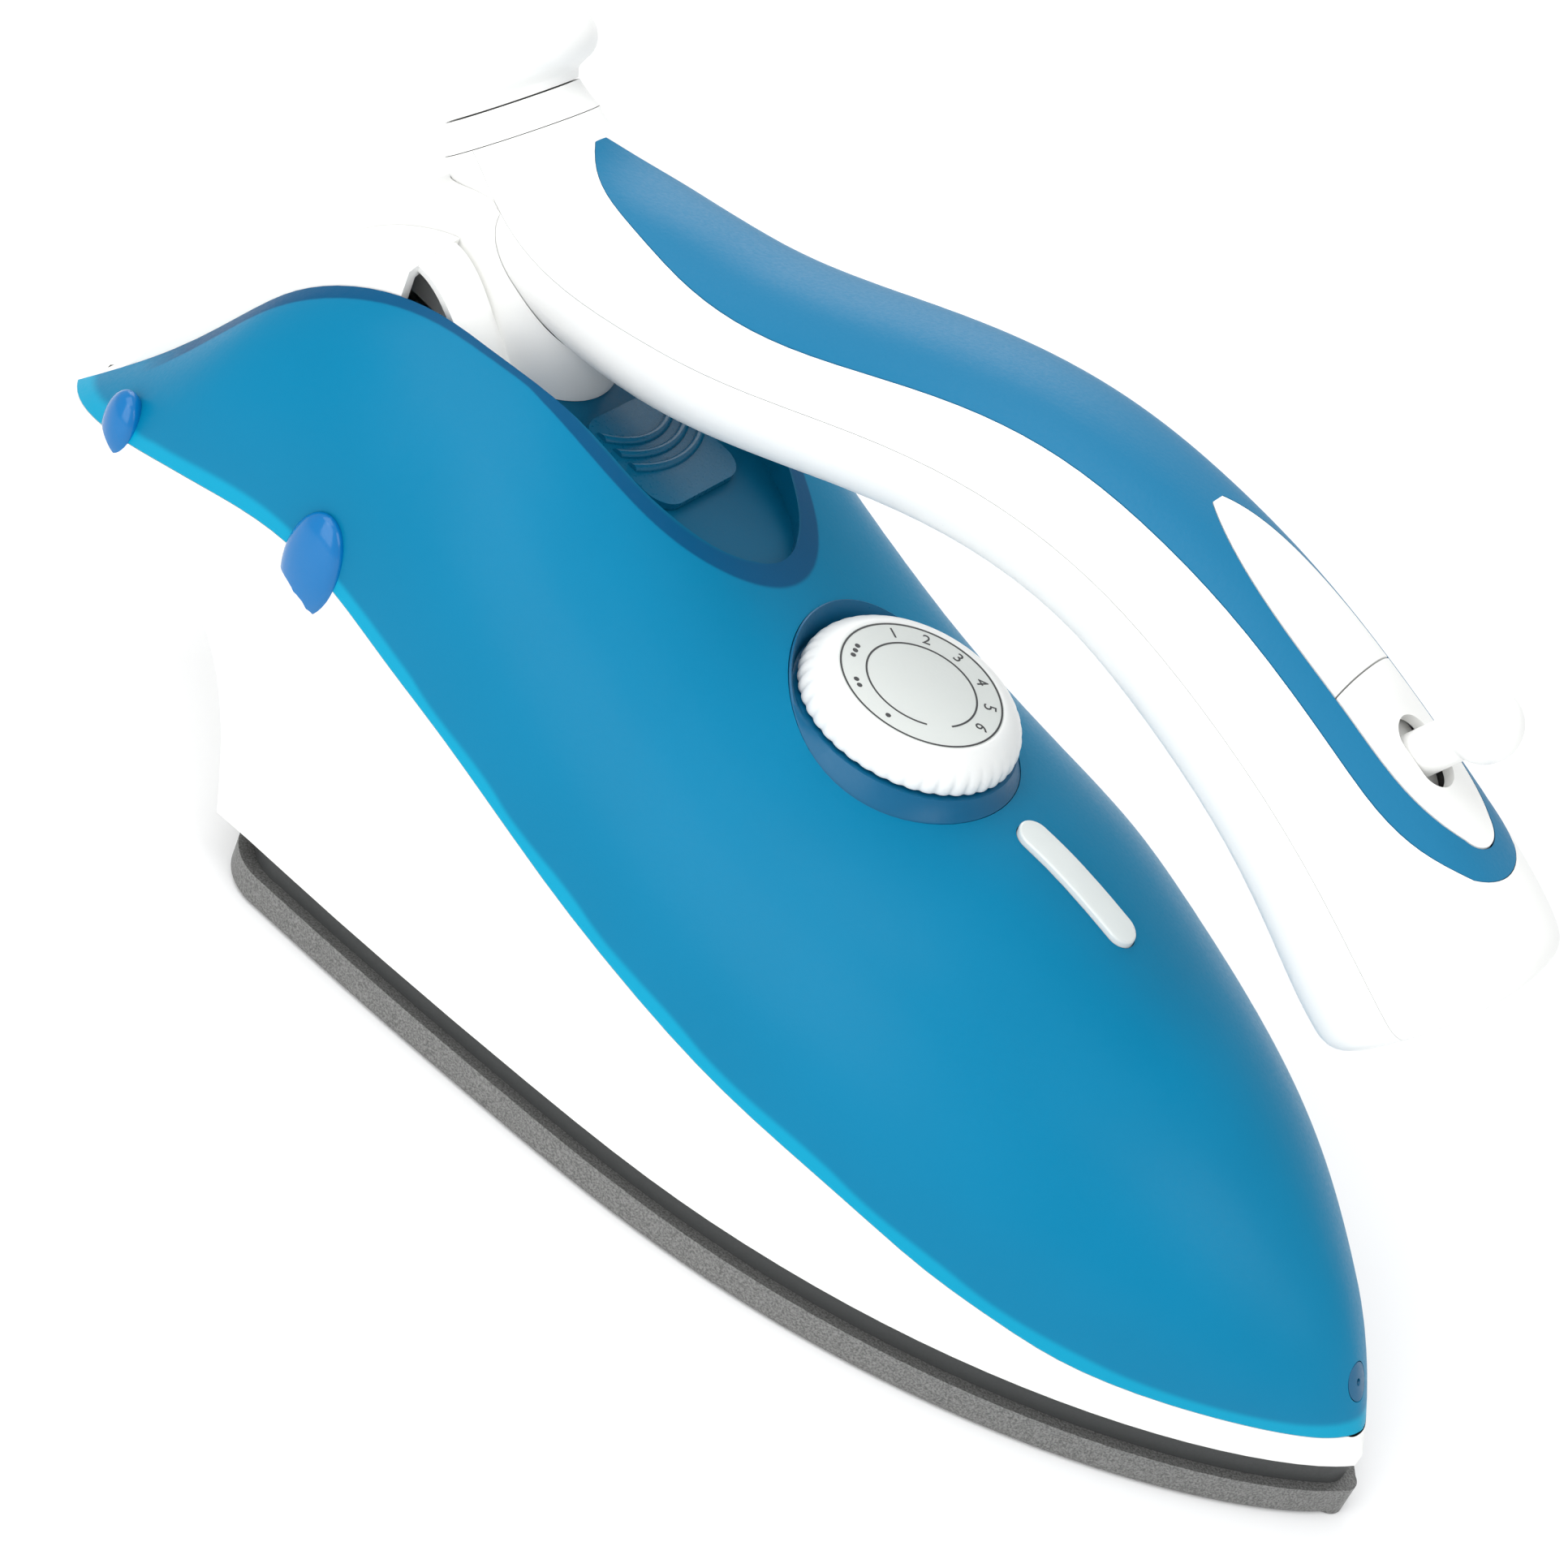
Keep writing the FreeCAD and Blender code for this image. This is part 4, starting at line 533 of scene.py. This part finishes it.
# %% Assign the materials
finishes = {"sole_metal": sole_coat, "shield_black": shield_black, "housing_white": white,
            "tank_blue": tank_blue, "clip_blue": deep_blue, "grip_blue": grip_blue,
            "dial_grey": plate_grey, "inner_plastic": tray_blue, "steel": steel,
            "brass": brass, "seal_rubber": seal_rubber}
by_name = {"filler_hatch": lid_blue, "spray_nozzle": collar_blue,
           "suction_hose": hose_clear, "delivery_hose": hose_clear,
           "pilot_lamp": lens_white, "spray_pump": white}


def dress(piece, material):
    """Give a piece one material all over."""
    piece.data.materials.clear()
    piece.data.materials.append(material)


for part in record["subparts"]:
    dress(nodes[part["node"]], by_name.get(part["node"], finishes[part["material_slot"]]))
print("dressed", len(record["subparts"]), "parts")

# %% [markdown]
# ## The temperature dial
# The real knob is one moulding: a low skirt with soft flutes for the fingertips, rolling
# over a broad shoulder to a flat plate. A boolean could cut the flutes, but its edges
# would be crisp. Here every fourth line of vertices on the skirt is drawn in a little,
# and subdivision turns the pleats into waves that fade out on the shoulder.

# %% Turn and flute the knob
dial_joint = joints["dial_turn"]
dial_place = upright(dial_joint["pos_m"], dial_joint["axis"])
dial_low, dial_top, dial_radius = reach("temperature_dial", dial_joint["pos_m"],
                                        dial_joint["axis"])
plate_radius = reach("dial_plate", dial_joint["pos_m"], dial_joint["axis"])[2]
FLUTES = 44
FLUTE_DEPTH = 0.024
KNOB_SHARE = 1.03
skirt_top = dial_low + 0.5 * (dial_top - dial_low)


def knob_profile():
    """Half profile of the knob, from the rim of its underside to the edge of its plate."""
    height = dial_top - dial_low
    line = [(0.93, 0.0), (0.985, 0.02), (1.0, 0.10), (1.0, 0.28), (0.985, 0.47), (0.95, 0.66),
            (0.89, 0.83), (0.83, 0.94), (0.79, 0.985)]
    full = dial_radius * KNOB_SHARE
    points = [(full * share, dial_low + height * rise) for share, rise in line]
    return points + [(plate_radius + 0.25 * MM, dial_top), (plate_radius, dial_top - 0.25 * MM)]


knob = lathe("dial_knob", knob_profile(), 4 * FLUTES, None)
take(knob)
bpy.ops.object.mode_set(mode="EDIT")
for low, high, share in ((0.0, 0.35, 1.0), (0.35, 0.55, 0.7), (0.55, 0.75, 0.35)):
    floor_level = dial_low + low * (dial_top - dial_low)
    ceiling = dial_low + high * (dial_top - dial_low)

    def in_groove(spot):
        """True for the vertex lines that lie in the middle of a groove."""
        turn_share = math.atan2(spot.y, spot.x) / (2 * math.pi) * 4 * FLUTES
        column = round(turn_share) % 4
        radius = math.hypot(spot.x, spot.y)
        return column == 0 and radius > 0.8 * dial_radius and floor_level < spot.z <= ceiling

    pick(in_groove)
    drawn = 1.0 - FLUTE_DEPTH * share
    bpy.ops.transform.resize(value=(drawn, drawn, 1.0), center_override=(0, 0, 0))
bpy.ops.object.mode_set(mode="OBJECT")
modify(knob, "SUBSURF", levels=1, render_levels=1)
settle(knob, dial_place, 60.0)
dress(knob, white)
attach(knob, "dial")
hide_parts("temperature_dial")

# %% [markdown]
# ## The printed plate
# Black rings and figures are printed on a pale grey disc. Paint in the material would do
# for a flat look, but real print sits on the surface, so each mark is a skin of ink five
# hundredths of a millimetre thick. The inner ring stops short, as a scale does.

# %% Print the rings and the figures
PRINT_LIFT = 0.03 * MM
INK = 0.05 * MM
plate_top = reach("dial_plate", dial_joint["pos_m"], dial_joint["axis"])[1]
ink_pieces = []


def printed_ring(name, radius, width, gap_from=None, gap_to=None):
    """A flat ring, or an open arc, with the thickness of ink."""
    let_go()
    bpy.ops.mesh.primitive_circle_add(vertices=144, radius=radius, location=(0, 0, 0))
    ring = named(name)
    bpy.ops.object.mode_set(mode="EDIT")
    bpy.ops.mesh.select_all(action="SELECT")
    bpy.ops.mesh.extrude_region_move(TRANSFORM_OT_translate={"value": (0, 0, 0)})
    share = (radius - width) / radius
    bpy.ops.transform.resize(value=(share, share, 1.0), center_override=(0, 0, 0))
    if gap_from is not None:
        pick(lambda spot: gap_from < math.degrees(math.atan2(spot.y, spot.x)) < gap_to)
        bpy.ops.mesh.delete(type="VERT")
    bpy.ops.object.mode_set(mode="OBJECT")
    modify(ring, "SOLIDIFY", thickness=INK, offset=0.0)
    ink_pieces.append(ring)


def printed_mark(name, text, radius, degrees, height):
    """A figure or a dot group, facing outwards, at an angle round the plate."""
    let_go()
    bpy.ops.object.text_add(location=(0, 0, 0))
    mark = bpy.context.object
    mark.name = name
    mark.data.body = text
    mark.data.size = height
    mark.data.align_x = "CENTER"
    mark.data.align_y = "CENTER"
    mark.data.extrude = 0.5 * INK
    mark.data.resolution_u = 3
    bpy.ops.object.convert(target="MESH")
    angle = math.radians(degrees)
    mark.matrix_world = (Matrix.Rotation(angle, 4, "Z") @ Matrix.Translation((radius, 0, 0))
                         @ Matrix.Rotation(math.radians(-90), 4, "Z"))
    bpy.ops.object.transform_apply(location=True, rotation=True, scale=True)
    ink_pieces.append(mark)


OUTER_RING, INNER_RING, RING_WIDTH = 15.4 * MM, 10.6 * MM, 0.36 * MM
MARK_RADIUS, FIGURE_HEIGHT, DOT_HEIGHT = 12.8 * MM, 3.5 * MM, 4.2 * MM
FIRST_FIGURE, FIGURE_STEP = 150.0, 29.0
FIRST_DOTS, DOT_STEP = -84.0, 38.0
printed_ring("ring_outer", OUTER_RING, RING_WIDTH)
printed_ring("ring_inner", INNER_RING, RING_WIDTH, -50.0, -24.0)
for index, label in enumerate("123456"):
    printed_mark("figure_" + label, label, MARK_RADIUS, FIRST_FIGURE - FIGURE_STEP * index,
                 FIGURE_HEIGHT)
for index in range(3):
    printed_mark("dots_%d" % (index + 1), "•" * (index + 1), MARK_RADIUS,
                 FIRST_DOTS - DOT_STEP * index, DOT_HEIGHT)
take(ink_pieces[0])
for mark in ink_pieces[1:]:
    mark.select_set(True)
bpy.ops.object.join()
print_layer = named("dial_print")
settle(print_layer, dial_place @ Matrix.Translation((0, 0, plate_top + PRINT_LIFT)), 30.0)
dress(print_layer, ink)
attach(print_layer, "dial")

# %% [markdown]
# ## The dial's seat
# Under the knob a dark blue collar stands in the deck. The lathe makes it from a short
# profile. The deck slopes, so a ray is dropped beside each point of the collar's top rim
# and the point moves to just above the deck; a boolean would leave a ragged edge there.

# %% Turn the seat and bend its rim to the deck
seat_low, seat_top, seat_radius = reach("dial_seat", dial_joint["pos_m"], dial_joint["axis"])
RIM_WIDTH = 2.0 * MM
RIM_LIFT = 0.25 * MM
PROBE_GAP = 0.9 * MM
PROBE_HEIGHT = 0.05
tank_mesh = nodes["water_tank"]


def deck_level(angle):
    """Height of the tank's skin just outside the seat, measured along the dial's axis."""
    ring = seat_radius + PROBE_GAP
    start = dial_place @ Vector((ring * math.cos(angle), ring * math.sin(angle), PROBE_HEIGHT))
    down = -(dial_place.to_3x3() @ Vector((0, 0, 1)))
    hit, spot, _, _ = tank_mesh.ray_cast(start, down)
    return PROBE_HEIGHT - (spot - start).length if hit else seat_top


seat = lathe("dial_collar", [
    (seat_radius, seat_low), (seat_radius, seat_top - 0.2 * MM),
    (seat_radius - 0.35 * MM, seat_top), (seat_radius - RIM_WIDTH, seat_top),
    (seat_radius - RIM_WIDTH - 0.3 * MM, seat_top), (0.35 * seat_radius, seat_top)],
    96, None, 35.0)
take(seat)
for vertex in seat.data.vertices:
    spot = vertex.co
    radius = math.hypot(spot.x, spot.y)
    if spot.z > seat_top - 0.3 * MM and radius > seat_radius - 0.5 * MM:
        spot.z += deck_level(math.atan2(spot.y, spot.x)) + RIM_LIFT - seat_top
settle(seat, dial_place, 50.0)
dress(seat, collar_blue)
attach(seat, "iron_body")
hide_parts("dial_seat")

# %% [markdown]
# ## Apron at the pillar's foot
# Behind the scoop the white cover runs down to the pillar's foot in one soft sweep. It is
# a shallow sheet: a grid is laid over the gap, its points are dropped from the edge of
# the cover to the floor of the scoop, and Solidify gives it a wall. A cloth or a sculpted
# patch could follow the same line, but a grid keeps its edge exactly on the cover's.

# %% Lay the apron
APRON_REAR, APRON_FRONT = -0.1290, -0.1085
APRON_HALF = 0.0262
APRON_WALL = 1.4 * MM
APRON_SINK = 0.15 * MM
APRON_FLOOR_LIMIT = 0.102
COVER_GUESS, FLOOR_GUESS = 0.118, 0.100
SIDE_DRAW = 0.8
SKY_HEIGHT = 0.3
cover_mesh = nodes["rear_cover"]


def level_under(mesh, x, y, fallback):
    """Height of a mesh straight below a high point."""
    hit, spot, _, _ = mesh.ray_cast(Vector((x, y, SKY_HEIGHT)), Vector((0, 0, -1)))
    return spot.z if hit else fallback


def lay_apron():
    """A sheet from the cover's front edge down to the floor of the scoop."""
    let_go()
    bpy.ops.mesh.primitive_grid_add(x_subdivisions=18, y_subdivisions=40, size=2.0,
                                    location=(0, 0, 0))
    apron = named("pillar_apron")
    middle_x = 0.5 * (APRON_REAR + APRON_FRONT)
    half_x = 0.5 * (APRON_FRONT - APRON_REAR)
    for vertex in apron.data.vertices:
        x = middle_x + half_x * vertex.co.x
        y = APRON_HALF * vertex.co.y
        top = level_under(cover_mesh, APRON_REAR, y, COVER_GUESS) - APRON_SINK
        base = level_under(tank_mesh, x, SIDE_DRAW * y, FLOOR_GUESS)
        base = min(base, APRON_FLOOR_LIMIT)
        share = (APRON_FRONT - x) / (APRON_FRONT - APRON_REAR)
        fall = math.sin(0.5 * math.pi * min(1.0, max(0.0, share)))
        vertex.co = (x, y, base + (top - base) * fall)
    modify(apron, "SOLIDIFY", thickness=APRON_WALL, offset=-1.0)
    return settle(apron, None, 40.0)


apron = lay_apron()
dress(apron, white)
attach(apron, "iron_body")

# %% [markdown]
# ## Clips
# Four glossy pebbles hold the tank to the housing. Each is a stretched ball whose lower
# end is sliced off at a slant, which leaves the thumb facet. Bisect makes the slice and
# fills it in one step; a boolean would do it too, with an extra object to clean up.

# %% Shape the clips
CLIP_SPLIT_X = -0.145


def clip_spots():
    """Side and two box corners of each clip in the engineering node."""
    corners = [vertex.co for vertex in nodes["tank_clips"].data.vertices]
    spots = []
    for side in (-1, 1):
        for rear in (True, False):
            group = [spot for spot in corners
                     if spot.y * side > 0 and (spot.x < CLIP_SPLIT_X) == rear]
            low = Vector(min(spot[axis] for spot in group) for axis in range(3))
            high = Vector(max(spot[axis] for spot in group) for axis in range(3))
            spots.append((side, low, high))
    return spots


def skin_point(x, y_side, z):
    """Where the tank or the housing is met from the side, and which way it faces."""
    start = Vector((x, y_side * 0.2, z))
    aim = Vector((0, -y_side, 0))
    found = [nodes[name].ray_cast(start, aim) for name in ("water_tank", "lower_housing")]
    found = [(abs(spot.y), spot, normal) for hit, spot, normal, _ in found if hit]
    return max(found, key=lambda entry: entry[0])[1:]


CLIP_DOME = 3.4 * MM
CLIP_LENGTH_SHARE = 0.95
FACET_SHARE = 0.48
CLIP_SUNK = 0.6 * MM
clip_pieces = []
for number, (side, low, high) in enumerate(clip_spots()):
    let_go()
    bpy.ops.mesh.primitive_uv_sphere_add(segments=48, ring_count=28, radius=1.0,
                                         location=(0, 0, 0))
    pebble = named("clip_%d" % (number + 1))
    half_x, half_z = 0.5 * (high.x - low.x), 0.5 * (high.z - low.z)
    bpy.ops.object.mode_set(mode="EDIT")
    bpy.ops.mesh.select_all(action="SELECT")
    bpy.ops.transform.resize(value=(CLIP_LENGTH_SHARE * half_x, CLIP_DOME, half_z))
    slant = Vector((-0.30, 0.62 * side, -0.72)).normalized()
    bpy.ops.mesh.bisect(plane_co=slant * (FACET_SHARE * half_z), plane_no=slant, use_fill=True,
                        clear_outer=True)
    bpy.ops.object.mode_set(mode="OBJECT")
    middle = 0.5 * (low + high)
    spot, normal = skin_point(middle.x, side, middle.z)
    lean = math.atan2(normal.x, normal.y * side) * side
    place_clip = (Matrix.Translation(spot - normal * CLIP_SUNK)
                  @ Matrix.Rotation(-lean, 4, "Z"))
    modify(pebble, "BEVEL", width=0.35 * MM, segments=3, limit_method="ANGLE",
           angle_limit=math.radians(28))
    settle(pebble, place_clip, 45.0)
    clip_pieces.append(pebble)
take(clip_pieces[0])
for pebble in clip_pieces[1:]:
    pebble.select_set(True)
bpy.ops.object.join()
clips = named("clip_pebbles")
let_go()
dress(clips, deep_blue)
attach(clips, "iron_body")
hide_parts("tank_clips")

# %% [markdown]
# ## Cord bush
# The flared bush at the handle's rear end turns with the cord. Its outline is a soft
# mushroom: a waist, a rolled flange and a dished end round the bore. The lathe turns a
# cap from a rounded profile. The cap is laid over the plain engineering bush, which stays
# beneath it, and its skin is left open at the waist and inside the bore.

# %% Turn the bush
cord_joint = joints["cord_swivel"]
_, bush_top, flange = reach("cord_bush", cord_joint["pos_m"], cord_joint["axis"])
_, collar_top, collar_radius = reach("handle_collar", cord_joint["pos_m"], cord_joint["axis"])
CORD_BORE = 3.6 * MM
WAIST = collar_radius - 1.75 * MM
bush_line = [(WAIST - 1.2 * MM, collar_top + 0.35 * MM), (WAIST, collar_top + 0.35 * MM),
             (WAIST + 0.05 * MM, collar_top + 1.4 * MM), (WAIST + 0.9 * MM, collar_top + 2.8 * MM),
             (WAIST + 2.6 * MM, collar_top + 3.9 * MM), (flange - 1.2 * MM, collar_top + 5.0 * MM),
             (flange - 0.2 * MM, collar_top + 6.4 * MM), (flange - 0.05 * MM, collar_top + 8.2 * MM),
             (flange - 0.5 * MM, collar_top + 10.2 * MM), (flange - 1.7 * MM, bush_top - 1.0 * MM),
             (flange - 3.6 * MM, bush_top - 0.2 * MM), (flange - 5.6 * MM, bush_top - 0.15 * MM),
             (flange - 8.4 * MM, bush_top - 1.3 * MM), (flange - 11.4 * MM, bush_top - 2.4 * MM),
             (CORD_BORE, bush_top - 2.7 * MM), (CORD_BORE, bush_top - 9.0 * MM)]
bush = lathe("cord_bush_cap", bush_line, 96, None, 60.0, closed_ends=False)
modify(bush, "SUBSURF", levels=1, render_levels=1)
settle(bush, upright(cord_joint["pos_m"], cord_joint["axis"]), 60.0)
dress(bush, white)
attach(bush, "cord_bush")

# %% [markdown]
# ## Rounded lens
# The pilot lamp's lens is a clear pill with a soft edge. Its outline is already right, so
# a copy of the engineering solid is merged, and its rim is rounded with a bevel. Drawing
# a new pill would give the same shape with more work.

# %% Soften the lens
def softened(source, name, width, segments, angle, matrix=None):
    """A copy of a node with its sharp edges rounded."""
    piece = nodes[source].copy()
    piece.data = nodes[source].data.copy()
    piece.name = name
    piece.data.name = name
    bpy.context.scene.collection.objects.link(piece)
    take(piece)
    bpy.ops.object.mode_set(mode="EDIT")
    bpy.ops.mesh.select_all(action="SELECT")
    bpy.ops.mesh.remove_doubles(threshold=2e-6)
    bpy.ops.mesh.dissolve_limited(angle_limit=math.radians(1.0))
    bpy.ops.object.mode_set(mode="OBJECT")
    modify(piece, "BEVEL", width=width, segments=segments, limit_method="ANGLE",
           angle_limit=math.radians(angle))
    return settle(piece, matrix, 50.0)


lens = softened("pilot_light_lens", "pilot_lens", 0.9 * MM, 4, 45.0)
dress(lens, lens_white)
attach(lens, "iron_body")
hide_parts("pilot_light_lens")

# %% [markdown]
# ## Floor
# A wide pale floor catches the soft shadow under the sole. It is part of the studio and not of the iron.

# %% Close the script
FLOOR_SIZE = 6.0
let_go()
bpy.ops.mesh.primitive_plane_add(size=FLOOR_SIZE, location=(0, 0, -FLOOR_DROP))
floor = named("studio_floor")
floor_paint = plastic("floor_paint", (0.90, 0.90, 0.90), 0.01, 0.6, 0.0)
dress(floor, floor_paint)
